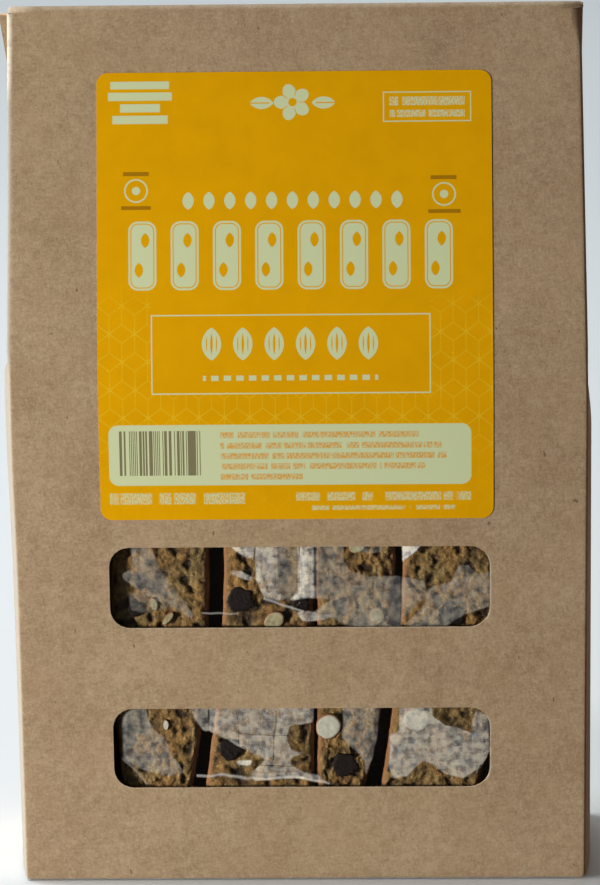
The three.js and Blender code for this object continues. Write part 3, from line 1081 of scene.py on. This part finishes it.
def upright_bars(finish, u, v):
    """Upright bars of uneven width."""
    random = finish.node("TexWhiteNoise", {"noise_dimensions": "1D"}, W=(u / 0.28).calc("FLOOR"))
    return (random > 0.46) * inside(u, v, -54.9, -29.4, 14.2, 28.4)


def label_finish(ground, ink):
    """The label's print, laid out in millimetres from the middle of its lower edge."""
    finish = Finish("label_print", roughness=0.5, specular_ior_level=0.02)
    u, v, _ = finish.split(finish.node("UVMap", {"uv_map": "label_mm"}))

    fade = v.ramp(78.0, 62.0) * (0.25 + 0.75 * v.ramp(14.0, 28.0))
    fade = fade * (1.0 - inside(u, v, *NUT_PANEL, 80.0))
    grain = finish.noise(finish.own_place(), 0.12, 2.0)
    base = finish.mix(grain.ramp(0.3, 0.7), shade(ground, 0.965), shade(ground, 1.03))
    base = finish.mix(blocks_pattern(u, v) * fade * 0.75, base, LINE_YELLOW)

    cream = sum(inside(u, v, *bar) for bar in CREAM_BARS) + blossom(u, v)
    cream = cream + frame_line(u, v, 27.6, 54.9, 123.8, 133.2, 0.38)
    cream = cream + broken_lines(finish, u, v, BOX_ROWS)
    cream = cream + sum(ring_mark(u, v, *centre) for centre in RINGS)
    cream = cream + small_leaves(u, v) + upright_slices(u, v) + nut_panel(u, v)
    cream = cream + (round_box(u, v, -1.95, 20.65, 56.25, 9.65, 3.0) < 0.0)
    cream = cream.least(1.0) + broken_lines(finish, u, v, FOOT_ROWS) * 0.9
    printed = finish.mix(cream.least(1.0), base, ink)

    printed = finish.mix(upright_bars(finish, u, v) * 0.75, printed, DARK_INK)
    rows = [(-23.5, right, mid - 0.95, mid + 0.95, 0.45, mid) for mid, right in PANEL_ROWS]
    printed = finish.mix(broken_lines(finish, u, v, rows) * 0.85, printed, STROKE_BROWN)
    dark = sum(inside(u, v, *bar) for bar in DARK_BARS)
    finish.colour(finish.mix(dark * 0.55, printed, DARK_INK))
    fine = finish.noise(finish.own_place(), 1.4, 2.0)
    finish.set(Roughness=fine * 0.16 + 0.42)
    finish.bump(fine, 0.02, 0.25)
    return finish.material


def cut_across(places, normal):
    """Cuts the sheet being edited at each place, square to the normal."""
    for place_co in places:
        bpy.ops.mesh.select_all(action="SELECT")
        bpy.ops.mesh.bisect(plane_co=place_co, plane_no=normal)


class CARTON_OT_label(bpy.types.Operator):
    """Cuts the label with round corners and lays it on the bent front"""

    bl_idname = "carton.label"
    bl_label = "Label"

    def execute(self, context):
        settings = context.scene.label_settings
        start = along_front(LABEL["bottom"])
        length = along_front(LABEL["top"]) - start
        start_clean()
        bpy.ops.mesh.primitive_plane_add(size=1)
        label = bpy.context.object
        label.name = "label_sheet"
        for vertex in label.data.vertices:
            vertex.co.x *= LABEL["width"] * MM
            vertex.co.y = (vertex.co.y + 0.5) * length * MM
        bpy.ops.object.mode_set(mode="EDIT")
        bpy.ops.mesh.select_all(action="SELECT")
        radius = LABEL["radius"] * MM
        bpy.ops.mesh.bevel(offset=radius, segments=LABEL_CORNER_STEPS, affect="VERTICES")
        levels = [length * MM * row / LABEL_ROWS for row in range(1, LABEL_ROWS)]
        cut_across([(0.0, level, 0.0) for level in levels], (0.0, 1.0, 0.0))
        shares = [column / LABEL_COLUMNS - 0.5 for column in range(1, LABEL_COLUMNS)]
        cut_across([(LABEL["width"] * MM * share, 0.0, 0.0) for share in shares], (1.0, 0.0, 0.0))
        bpy.ops.object.mode_set(mode="OBJECT")
        layer = label.data.uv_layers.active or label.data.uv_layers.new()
        layer.name = "label_mm"
        for loop in label.data.loops:
            flat = label.data.vertices[loop.vertex_index].co
            layer.data[loop.index].uv = (flat.x / MM, flat.y / MM)
        for vertex in label.data.vertices:
            x = LABEL["x"] + vertex.co.x / MM
            z = height_on_front(start + vertex.co.y / MM)
            off = (settings.sheet / MM + LABEL_OFF) / math.cos(LEAN if z > BEND_END else 0.0)
            y = -face_at(z) + wave_at(x, z, FRONT_SEED) - off
            vertex.co = place(x, y, z)
        label.data.materials.append(label_finish(tuple(settings.ground), tuple(settings.ink)))
        add_modifier(label, "SOLIDIFY", thickness=settings.sheet, offset=-1.0)
        smooth_by_angle(label, 40)
        settle(label, "label_paper", "label")
        return {"FINISHED"}


# ---- the film ----

# patches of painted reflection on the film, where a facet would catch the light: how strongly, and
# their corners
GLARE_PATCHES = (
    (0.15, (-53.2, 110.8), (-47.2, 110.8), (-45.4, 106.4), (-43.9, 102.6), (-40.3, 97.2),
     (-37.3, 92.8), (-33.7, 87.7), (-34.3, 86), (-36.3, 87.1), (-40.5, 89.9), (-44.1, 92.1),
     (-48.8, 94.3), (-51.9, 96.2), (-55.4, 99.2), (-56.1, 100.7), (-52.5, 102.8),
     (-52.7, 105.9)),
    (0.08, (-54, 94), (-50.8, 95.6), (-44.1, 91.8), (-40.5, 89.6), (-44.2, 89.1), (-48.4, 88),
     (-53.1, 89.1)),
    (0.46, (-22.3, 110.6), (-13.8, 110.6), (-14.6, 105.7), (-16.7, 105.7), (-20.3, 107.9)),
    (0.38, (-22.2, 101.7), (-18.3, 101.7), (-14.9, 99.5), (-15.2, 98.4), (-19.4, 99.5),
     (-21.4, 100.6)),
    (0.42, (-13.7, 110.6), (-6.9, 110.5), (-7.1, 95.4), (-5.9, 91.6), (-11.6, 93),
     (-13.9, 98.7)),
    (0.15, (-6.9, 110.5), (-0.2, 110.5), (-0.4, 94.8), (-5.9, 91.6), (-7.1, 95.4)),
    (0.55, (-0.2, 110.6), (4.5, 110.6), (4.3, 92.6), (0.9, 92.6), (-4.8, 91.5), (-0.4, 94.8)),
    (0.17, (4.7, 110.5), (13.7, 110.4), (13.7, 104.5), (15.6, 101.7), (20.8, 99.7),
     (31.3, 99.6), (31.2, 82.1), (17, 82.2), (12.9, 84.4), (6.6, 87.7), (4.5, 88.5),
     (9.8, 92.3), (4.5, 92.6)),
    (0.36, (-2.3, 88.3), (3, 88.5), (9.7, 86.9), (8.2, 85.5), (0.8, 85)),
    (0.12, (16.8, 110.4), (27.2, 110.3), (25.1, 107.4), (20.9, 106.8), (17.3, 108.2)),
    (0.95, (31.9, 110.3), (38.3, 110.2), (36, 107.6), (33.4, 105.4), (32.1, 104.1)),
    (0.16, (31.5, 99.4), (38.5, 98.4), (39.6, 95.1), (38.5, 91.3), (32.5, 85.4), (31.4, 82.1)),
    (0.17, (38.8, 90.5), (39.6, 95.1), (41.7, 96.5), (46.9, 97.8), (50, 103.2), (52.6, 103.2),
     (55.2, 100.4), (59.4, 101), (59.4, 89.6), (52.1, 87.5), (45.3, 83.1), (33.2, 82.1),
     (33.3, 84.8)),
    (0.18, (-56.7, 57.9), (-49.3, 57.9), (-48.9, 53.5), (-46.6, 49), (-44.5, 47.9),
     (-42.5, 44.6), (-41.5, 41.3), (-39.4, 38.5), (-37.4, 35.1), (-42.7, 34.3), (-49.5, 36),
     (-54.3, 38), (-56.9, 40.2), (-57.2, 48.5)),
    (0.24, (-35.9, 57.8), (-29.5, 57.8), (-29.7, 49), (-31.3, 49.5), (-33.6, 52.3)),
    (0.31, (-29.3, 58.5), (4.2, 58.3), (3.5, 52), (-0.6, 51), (-3.8, 50.7), (-4.8, 46.7),
     (-3.6, 42.7), (0.8, 41.7), (-3.9, 40.1), (-3.7, 37.8), (0.1, 35.4), (4.9, 34.7),
     (6.1, 34), (8.6, 31.4), (-0.9, 33.1), (-15.2, 32.5), (-16.7, 34.8), (-11.9, 39.8),
     (-19.7, 43.8), (-24.5, 46.5), (-29.5, 49.2)),
    (0.55, (-21.4, 39), (-19.8, 39.5), (-16, 39.3), (-16.4, 37.6), (-20.5, 37.7)),
    (0.17, (12.6, 57.6), (24.6, 57.5), (23.9, 48.2), (22.5, 41), (20, 34.3), (19.6, 39.3),
     (16.7, 42.7), (12.5, 46.5), (13.1, 53.2)),
    (0.28, (54.7, 55.7), (58.9, 54.1), (58.9, 44.1), (56, 45.2), (53.6, 50.2)),
    (0.35, (31, 58), (41, 58), (41.5, 53.6), (45.2, 50.8), (49.9, 49.7), (55.2, 47.5),
     (58.9, 53.5), (59.4, 42.5), (56.7, 36.9), (50.9, 33.1), (45.7, 34.2), (42.5, 36.4),
     (38.3, 39.2), (33, 33.7), (28.7, 33.2), (27.2, 37.1), (27.8, 48.1), (30.4, 48.7)),
)
# creases: their two ends, half their width, and how much painted glint they add, or below zero how
# much painted reflection they take away
CREASES = (
    ((-31.1, 87.9), (-19.6, 87.6), 0.25, 0.25),
    ((-11.6, 93), (1.1, 88.6), 0.35, 0.35),
    ((-13.7, 109.2), (-13.9, 98.7), 0.18, 0.2),
    ((-33.7, 34.3), (-25.7, 34.8), 0.45, 0.35),
    ((-25.7, 34.8), (-17.8, 33.5), 0.45, 0.35),
    ((-17.8, 33.5), (0.5, 33.7), 0.4, 0.3),
    ((-0.9, 33.9), (8.6, 31.6), 0.35, 0.3),
    ((-20.2, 48.1), (-4.4, 47.2), 0.14, -0.2),
    ((-20.4, 53.9), (-20.1, 40.6), 0.14, -0.18),
    ((-8.5, 56), (-9.5, 39.4), 0.2, -0.25),
    ((-15.9, 37.7), (0.8, 37.2), 0.14, -0.2),
    ((-15.1, 35.6), (-0.3, 35.6), 0.12, -0.15),
    ((38.5, 91.3), (32.5, 85.4), 0.5, -0.16),
    ((-57.4, 40.2), (-49.1, 31.8), 0.3, 0.16),
    ((55.2, 34.7), (58.9, 43.6), 0.2, 0.16),
)
EDGE_REACH = 3.0
PLAIN_GLARE = 0.2
ALPHA = {"least": 0.003, "most": 0.95}


def into_polygon(x, z, corners):
    """Signed distance to a polygon's edge, above zero inside it."""
    nearest = 1e9
    inside_it = False
    for (x0, z0), (x1, z1) in zip(corners, corners[1:] + corners[:1]):
        run_x, run_z = x1 - x0, z1 - z0
        share = held(((x - x0) * run_x + (z - z0) * run_z) / (run_x**2 + run_z**2))
        nearest = min(nearest, math.hypot(x - x0 - share * run_x, z - z0 - share * run_z))
        if (z0 > z) != (z1 > z) and x < x0 + (z - z0) * run_x / run_z:
            inside_it = not inside_it
    return nearest if inside_it else -nearest


def glare_at(x, z):
    """How far inside a patch of painted reflection a spot lies, and how strong that patch is."""
    best = (-EDGE_REACH, PLAIN_GLARE)
    for strength, *corners in GLARE_PATCHES:
        reach = max(-EDGE_REACH, into_polygon(x, z, corners))
        if reach > best[0]:
            best = (reach, strength)
    return min(best[0], EDGE_REACH), best[1]


def film_finish(glare_tint):
    """Clear film: nearly unseen, with painted reflections as whitish patches where a facet would catch
    the light, and painted glints along creases.
    """
    finish = Finish("clear_film", roughness=0.2, specular_ior_level=0.3)
    x, _, z = finish.split(finish.own_place())
    x = x - SHIFT.x / MM
    sway = finish.noise(finish.own_place(), 0.12, 1.0) - 0.5
    smear = finish.streaks((160, 900, 260), (0.0, 0.3, 0.0), 4.0, 0.6)
    upright = finish.streaks((1100, 900, 160))
    level = finish.streaks((200, 900, 1300))
    facet = (finish.stored("veil_edge") + (smear - 0.5) * 1.2).ramp(-0.15, 0.35)
    crinkle = upright.most(level).ramp(0.40, 0.66)
    lump = finish.noise(finish.own_place(), 0.42, 3.0, 0.55).ramp(0.38, 0.62)
    texture = lump * 0.95 + smear.ramp(0.3, 0.7) * 0.3 + crinkle * 0.35 + 0.15
    # colour of the painted reflections, cooler or warmer by lump
    cool, warm = shade(glare_tint, 0.90, 0.92, 0.98), shade(glare_tint, 1.05, 0.98, 0.84)
    finish.colour(finish.mix(lump, cool, warm))
    # the alpha carries the painted reflections
    alpha = facet * finish.stored("veil") * texture + ALPHA["least"]
    for (x0, z0), (x1, z1), half, strength in CREASES:
        length = math.hypot(x1 - x0, z1 - z0)
        run_x, run_z = (x1 - x0) / length, (z1 - z0) / length
        onward = (x - x0) * run_x + (z - z0) * run_z
        across = (x - x0) * run_z - (z - z0) * run_x + sway * 2.2
        line = abs(across).ramp(half * 1.6, half * 0.5) * onward.near(length / 2, length / 2)
        alpha = alpha + line * strength
    finish.set(Alpha=alpha.most(ALPHA["least"]).least(ALPHA["most"]))
    return finish.material


class CARTON_OT_film(bpy.types.Operator):
    """Stretches the crinkled film behind the windows"""

    bl_idname = "carton.film"
    bl_label = "Film"

    def execute(self, context):
        settings = context.scene.film_settings
        low = WINDOW_LEVELS[0] - WINDOW["height"] / 2 - FILM_MARGIN
        high = WINDOW_LEVELS[1] + WINDOW["height"] / 2 + FILM_MARGIN
        half = WINDOW["width"] / 2 + FILM_MARGIN
        columns, rows = FILM_CELLS
        depth = settings.crease / MM
        edge = []
        veil = []

        def point(column, row):
            x = blend(WINDOW["x"] - half, WINDOW["x"] + half, column / columns)
            z = blend(low, high, row / rows)
            reach, strength = glare_at(x, z)
            edge.append(reach)
            veil.append(strength)
            relief = FILM_SHARES["swell"] * noise.noise(Vector((x / 16, 3.3, z / 13)))
            relief += FILM_SHARES["fold"] * (0.5 - smoothstep(abs(reach), 0.0, FOLD_REACH))
            relief += FILM_SHARES["ripple"] * noise.noise(Vector((x / 3.5, 8.1, z / 2.6)))
            return place(x, FILM_Y + depth * relief, z)

        film = grid_piece("window_films", columns, rows, point)
        # stores where the painted reflections lie and how strong they are
        point_values(film, "veil_edge", edge)
        point_values(film, "veil", veil)
        film.data.materials.append(film_finish(tuple(settings.glare_tint)))
        smooth_by_angle(film, 60)
        settle(film, "clear_film", "window_film")
        return {"FINISHED"}


# ---- the biscotti ----


def edge_at(side, z):
    furthest, draw_in, level = side
    return furthest - draw_in * (z - level) ** 2


def hashed(*numbers):
    total = sum(n * (127.1 + 184.6 * index) for index, n in enumerate(numbers))
    wave = math.sin(total) * 43758.5453
    return wave - math.floor(wave)


def subdivided_box(name, cuts):
    """A cube primitive cut evenly along each of its three directions."""
    start_clean()
    bpy.ops.mesh.primitive_cube_add(size=2)
    piece = bpy.context.object
    piece.name = name
    for axis, count in cuts:
        bpy.ops.object.mode_set(mode="EDIT")
        bpy.ops.mesh.select_mode(type="EDGE")
        bpy.ops.mesh.select_all(action="DESELECT")
        bpy.ops.object.mode_set(mode="OBJECT")
        vertices = piece.data.vertices
        for edge in piece.data.edges:
            a, b = (vertices[index].co for index in edge.vertices)
            edge.select = abs(a[axis] - b[axis]) > 1e-6
        bpy.ops.object.mode_set(mode="EDIT")
        bpy.ops.mesh.subdivide(number_cuts=count)
        bpy.ops.object.mode_set(mode="OBJECT")
    return piece


def crumb_relief(spot, cut_face):
    """Height of the crumb, from about -1.3 to 0.7: grains, clods and the pits between them."""
    coarse = noise.noise(spot * 0.13)
    warp = Vector((noise.noise(spot * 0.3), 0.0, noise.noise(spot * 0.3 + CRUMB_SHIFT))) * 1.6
    clods = noise.voronoi((spot + warp) * 0.36)[0]
    grains = noise.voronoi((spot + warp) * 0.9)[0]
    pit = noise.noise(spot * 0.27 + CRUMB_SHIFT)
    pits = smoothstep(pit, 0.2, 0.4)
    clod = smoothstep(clods[1] - clods[0], 0.0, 0.35)
    grain = smoothstep(grains[1] - grains[0], 0.0, 0.4)
    lumps = noise.noise(spot * 0.42 - CRUMB_SHIFT)
    cut = 0.5 * coarse + 0.6 * lumps + 0.4 * (clod - 0.6) + 0.25 * (grain - 0.6) - 0.8 * pits
    baked = 0.4 * coarse + 0.12 * (clod - 0.6) + 0.08 * (grain - 0.6) - 0.3
    return blend(baked, cut, cut_face)


def slice_piece(name, index, crag):
    """One slice of the baked log, standing on its end."""
    left, right = SLICES[name]
    piece = subdivided_box(name + "_body", SLICE_CUTS)
    crust = []
    relief = []
    for vertex in piece.data.vertices:
        a, b, c = vertex.co
        z = along(SLICE_ROWS, (1 + c) / 2)
        c = 2 * (z - SLICE["floor"]) / SLICE["length"] - 1
        ends = (1 - abs(0.998 * c) ** 6) ** (1 / 3)
        low_x = edge_at(left, z)
        high_x = edge_at(right, z)
        half_x = (high_x - low_x) / 2 * ends
        half_y = SLICE["thick"] / 2 * (0.35 + 0.65 * ends)
        radius = min(SLICE["round"], 0.9 * half_x, 0.9 * half_y)
        x = a * half_x
        y = b * half_y
        core_x = held(x, radius - half_x, half_x - radius)
        core_y = held(y, radius - half_y, half_y - radius)
        out = Vector((x - core_x, y - core_y, 0.0))
        if abs(c) > 0.999 and out.length < 1e-6:
            out = Vector((0.0, 0.0, 1.0 if c > 0 else -1.0))
        elif out.length > 1e-6:
            out.normalize()
            x = core_x + radius * out.x
            y = core_y + radius * out.y
        middle_x = (low_x + high_x) / 2
        middle_y = SLICE["front"] + SLICE["thick"] / 2
        spot = Vector((middle_x + x, middle_y + y, z))
        cut_face = smoothstep(half_x - abs(x), 0.4, 2.4) * smoothstep(1 - abs(c), 0.0, 0.03)
        height = crumb_relief(spot + Vector((0.0, index * 37.0, 0.0)), cut_face)
        crust.append(1.0 - cut_face)
        relief.append(height)
        vertex.co = place(*(spot + out * height * crag))
    point_values(piece, "crust", crust)
    point_values(piece, "relief", relief)
    return piece


def biscotto_finish(crumb, crust):
    """Baked crumb: golden grains with painted shade in the pits, browned at the rim and on the crust.
    """
    finish = Finish("baked_crumb", roughness=0.85, specular_ior_level=0.3)
    at = finish.own_place()
    patch = finish.noise(at, 0.13, 3.0)
    coarse = finish.noise(at, 0.55, 3.0, 0.6)
    fine = finish.noise(at, 1.6, 4.0, 0.7)
    relief = finish.stored("relief")
    rim = finish.stored("crust")
    tone = finish.mix(coarse.ramp(0.33, 0.66), shade(crumb, 0.45), shade(crumb, 1.2))
    grey = finish.mix(fine, *GREY_CRUMB)
    pale = finish.mix(patch.ramp(0.42, 0.60) * 0.75, tone, grey)
    pale = finish.mix(fine.ramp(0.56, 0.64) * 0.8, pale, PALE_SPECK)
    # painted shade in the pits: the deeper the relief, the darker
    deep = (relief * -1.0 + (coarse - 0.5) * 0.9).ramp(-0.1, 0.8)
    pale = finish.mix(deep, pale, shade(crumb, 0.12))
    toast = finish.mix(fine, shade(crust, 0.6), shade(crust, 1.6))
    edge = (rim + (coarse - 0.5) * 0.6).ramp(0.15, 0.85)
    finish.colour(finish.mix(edge, pale, toast))
    finish.set(Roughness=fine * 0.25 + 0.65)
    finish.bump(fine * 0.9 + coarse * 1.3, 0.4, 1.0)
    return finish.material


def topping_disc(name, radius, wobble, seed):
    """A cut nut or chip: a disc with a soft rim, a little domed, slightly out of round."""
    thick = TOPPING["thick"]
    sides = TOPPING["sides"]
    start_clean()
    bpy.ops.mesh.primitive_circle_add(vertices=sides, radius=radius * MM, fill_type="NGON")
    piece = bpy.context.object
    piece.name = name
    bpy.ops.object.mode_set(mode="EDIT")
    bpy.ops.mesh.select_all(action="SELECT")
    bpy.ops.mesh.extrude_region_move(TRANSFORM_OT_translate={"value": (0, 0, thick * MM)})
    bpy.ops.mesh.inset(thickness=TOPPING["rim"] * radius * MM)
    bpy.ops.transform.translate(value=(0, 0, TOPPING["dome"] * thick * MM))
    for share in TOPPING_RINGS:
        bpy.ops.mesh.inset(thickness=share * radius * MM)
    bpy.ops.mesh.select_all(action="SELECT")
    bpy.ops.mesh.normals_make_consistent(inside=False)
    bpy.ops.object.mode_set(mode="OBJECT")
    middle = []
    for vertex in piece.data.vertices:
        x, y, z = vertex.co / MM
        out = math.hypot(x, y) / radius
        middle.append(out)
        angle = math.atan2(y, x)
        round_it = Vector((math.cos(angle) * 1.3, math.sin(angle) * 1.3, seed))
        reach = 1 + wobble * (noise.noise(round_it) + 0.4 * noise.noise(round_it * 3.5))
        if z > thick / 2:
            z += TOPPING["bumps"] * noise.noise(Vector((x * 0.7, y * 0.7, seed)))
        vertex.co = Vector((x * reach, y * reach, z)) * MM
    point_values(piece, "from_middle", middle)
    return piece


def all_toppings():
    """Every nut and chip: slice, kind, x, z, size, turn, how slim, and side."""
    spots = [(*spot, -1) for spot in FRONT_TOPPINGS]
    for index, (left, right) in enumerate(SLICES.values()):
        for number in range(BACK_TOPPINGS["count"]):
            rise = number + 0.4 * hashed(index, number, 1)
            z = BACK_TOPPINGS["from"] + BACK_TOPPINGS["apart"] * rise
            share = 0.3 + 0.4 * hashed(index, number, 2)
            x = blend(edge_at(left, z), edge_at(right, z), share)
            kind = "chip" if number % 2 else "almond"
            turn = 60 * hashed(index, number, 3)
            size, slim = BACK_TOPPINGS["size"], BACK_TOPPINGS["slim"]
            spots.append((index, kind, x, z, size, turn, slim, 1))
    return spots


def almond_finish():
    finish = Finish("almond_slice", roughness=0.5)
    at = finish.own_place()
    grain = finish.noise(at, 0.8, 3.0)
    out = finish.stored("from_middle")
    height = finish.split(at)[2]
    meat = finish.mix(grain.ramp(0.3, 0.7), *ALMOND_MEAT)
    shaded = finish.mix(grain.ramp(0.3, 0.7), *SHADED_MEAT)
    # painted shade: the almonds in the upper window are darker
    meat = finish.mix(height.ramp(*BETWEEN_WINDOWS), meat, shaded)
    skin = finish.mix(grain, *ALMOND_SKIN)
    finish.colour(finish.mix((out + (grain - 0.5) * 0.1).ramp(0.86, 0.95), meat, skin))
    finish.set(Roughness=grain * 0.3 + 0.4)
    finish.bump(grain, 0.1, 0.5)
    return finish.material


def chip_finish():
    finish = Finish("dark_chocolate", roughness=0.6, specular_ior_level=0.15)
    grain = finish.noise(finish.own_place(), 1.1, 3.0)
    finish.colour(finish.mix(grain.ramp(0.4, 0.75), *CHOCOLATE))
    finish.set(Roughness=grain * 0.3 + 0.5)
    finish.bump(grain, 0.3, 0.8)
    return finish.material


def scattered(kind, name, slot_nodes, material):
    """All the nuts or all the chips, as one piece."""
    model = topping_disc(name, **TOPPINGS[kind])
    copies = []
    for _, this, x, z, size, turn, slim, side in all_toppings():
        if this != kind:
            continue
        copy = model.copy()
        copy.data = model.data.copy()
        bpy.context.collection.objects.link(copy)
        face = SLICE["front"] + (0.0 if side < 0 else SLICE["thick"])
        stand = Matrix.Rotation(math.radians(90), 4, "X")
        if side > 0:
            stand = Matrix.Rotation(math.pi, 4, "Z") @ stand
        spin = Matrix.Rotation(math.radians(turn), 4, "Z")
        tilt = Matrix.Rotation(math.radians(turn / 16), 4, "X")
        scale = Matrix.Diagonal((size, size * slim, 1.0, 1.0))
        spot = place(x, face - side * TOPPING["sunk"], z)
        copy.data.transform(Matrix.Translation(spot) @ stand @ tilt @ spin @ scale)
        copies.append(copy)
    bpy.data.objects.remove(model)
    piece = join(name, copies, weld=0)
    piece.data.materials.append(material)
    smooth_by_angle(piece, 45)
    settle(piece, "biscotto", *slot_nodes)


class CARTON_OT_biscotti(bpy.types.Operator):
    """Bakes the four slices behind the windows, with their almonds and chocolate"""

    bl_idname = "carton.biscotti"
    bl_label = "Biscotti"

    def execute(self, context):
        settings = context.scene.biscotti_settings
        baked = biscotto_finish(tuple(settings.crumb), tuple(settings.crust))
        for index, name in enumerate(SLICES):
            piece = slice_piece(name, index, settings.crag / MM)
            piece.data.materials.append(baked)
            smooth_by_angle(piece, 60)
            settle(piece, "biscotto", name)
        names = tuple(SLICES)
        scattered("almond", "almond_slices", names, almond_finish())
        scattered("chip", "chocolate_chips", names, chip_finish())
        return {"FINISHED"}


# ---- the stage ----

CAMERA_SPOT = (29.2, -1114.6, 400.5)
CAMERA_TURNS = {"heading": -1.517, "pitch": 13.366, "roll": -0.729}
FLOOR = {"radius": 7.0, "sides": 64, "below": 0.0003}
MIDDLE = (0.0, 0.0, 0.12)
# the lights, in metres: name, spot, aim, size, share of the main light's power, and colour;
# the main light is tipped down, so the foot of the carton gets more of it than the top
LIGHTS = (
    ("key_light", (-1.22, -0.60, 0.11), (0.0, 0.0, -1.25), 0.22, 1.0, (1.0, 0.99, 0.96)),
    ("side_light", (-0.95, 0.25, 1.6), MIDDLE, 0.9, 0.62, (0.96, 0.99, 1.0)),
    ("front_fill", (-0.3, -1.9, 0.5), MIDDLE, 0.8, 0.015, (1.0, 0.97, 0.93)),
    ("right_glow", (1.3, 0.15, 0.3), MIDDLE, 0.5, 0.06, (1.0, 0.60, 0.30)),
    ("far_light", (-0.3, 2.5, 2.3), (-0.3, 2.5, 0.0), 2.2, 1.0, (0.93, 0.98, 1.0)),
)


def camera_matrix():
    heading, pitch, roll = (math.radians(turn) for turn in CAMERA_TURNS.values())
    ahead = Vector((
        math.sin(heading) * math.cos(pitch),
        math.cos(heading) * math.cos(pitch),
        -math.sin(pitch),
    ))
    level = Vector((math.cos(heading), -math.sin(heading), 0.0))
    upward = level.cross(ahead)
    right = level * math.cos(roll) + upward * math.sin(roll)
    top = upward * math.cos(roll) - level * math.sin(roll)
    turn = Matrix((right, top, -ahead)).transposed().to_4x4()
    return Matrix.Translation(place(*CAMERA_SPOT)) @ turn


def add_area(name, spot, target, size, power, colour):
    start_clean()
    bpy.ops.object.light_add(type="AREA", location=spot)
    lamp = bpy.context.object
    lamp.name = name
    lamp.data.size = size
    lamp.data.energy = power
    lamp.data.color = colour
    aim = Vector(target) - Vector(spot)
    lamp.rotation_euler = aim.to_track_quat("-Z", "Y").to_euler()


class CARTON_OT_stage(bpy.types.Operator):
    """Sets the floor, the lights and the camera"""

    bl_idname = "carton.stage"
    bl_label = "Stage"

    def execute(self, context):
        settings = context.scene.stage_settings
        start_clean()
        sides, radius = FLOOR["sides"], FLOOR["radius"]
        bpy.ops.mesh.primitive_circle_add(vertices=sides, radius=radius, fill_type="NGON")
        floor = bpy.context.object
        floor.name = "floor"
        floor.data.transform(Matrix.Translation((0.0, 0.0, -FLOOR["below"])))
        paper = Finish("stage_paper", roughness=0.8, specular_ior_level=0.2)
        tint = paper.noise(paper.own_place(1.0), 1.5, 1.0)
        paper.colour(paper.mix(tint, *STAGE_PAPER))
        floor.data.materials.append(paper.material)
        # the floor throws no light back, so the shadows behind the windows stay deep
        floor.visible_diffuse = False

        world = bpy.data.worlds.new("soft_room")
        world.use_nodes = True
        room = world.node_tree.nodes["Background"]
        room.inputs["Color"].default_value = ROOM_COLOUR
        room.inputs["Strength"].default_value = settings.room
        context.scene.world = world
        context.scene.view_settings.view_transform = "Standard"

        for name, spot, aim, size, share, colour in LIGHTS:
            add_area(name, spot, aim, size, settings.key * share, colour)

        start_clean()
        bpy.ops.object.camera_add()
        camera = bpy.context.object
        camera.data.lens = settings.lens
        camera.data.sensor_width = 36.0
        camera.data.clip_start = 0.05
        camera.matrix_world = camera_matrix()
        context.scene.camera = camera
        return {"FINISHED"}


# ---- the add-on ----


class CARTON_PT_sidebar(bpy.types.Panel):
    """Lists the carton's pieces and their settings"""

    bl_idname = "CARTON_PT_sidebar"
    bl_label = "Biscotti Carton"
    bl_space_type = "VIEW_3D"
    bl_region_type = "UI"
    bl_category = "Carton"

    def draw(self, context):
        scene = context.scene
        for operator, group in PIECES:
            box = self.layout.box()
            box.operator(operator.bl_idname)
            settings = getattr(scene, group)
            for key in settings.__annotations__:
                box.prop(settings, key)


PIECES = (
    (CARTON_OT_stage, "stage_settings"),
    (CARTON_OT_board, "carton_settings"),
    (CARTON_OT_label, "label_settings"),
    (CARTON_OT_film, "film_settings"),
    (CARTON_OT_biscotti, "biscotti_settings"),
)
SETTINGS = {
    "stage_settings": StageSettings,
    "carton_settings": CartonSettings,
    "label_settings": LabelSettings,
    "film_settings": FilmSettings,
    "biscotti_settings": BiscottiSettings,
}


def register():
    for name, group in SETTINGS.items():
        bpy.utils.register_class(group)
        setattr(bpy.types.Scene, name, bpy.props.PointerProperty(type=group))
    for operator, _ in PIECES:
        bpy.utils.register_class(operator)
    bpy.utils.register_class(CARTON_PT_sidebar)


def unregister():
    bpy.utils.unregister_class(CARTON_PT_sidebar)
    for operator, _ in reversed(PIECES):
        bpy.utils.unregister_class(operator)
    for name, group in SETTINGS.items():
        delattr(bpy.types.Scene, name)
        bpy.utils.unregister_class(group)


def main():
    register()
    bpy.ops.carton.stage()
    bpy.ops.carton.board()
    bpy.ops.carton.label()
    bpy.ops.carton.film()
    bpy.ops.carton.biscotti()


if __name__ == "__main__":
    main()
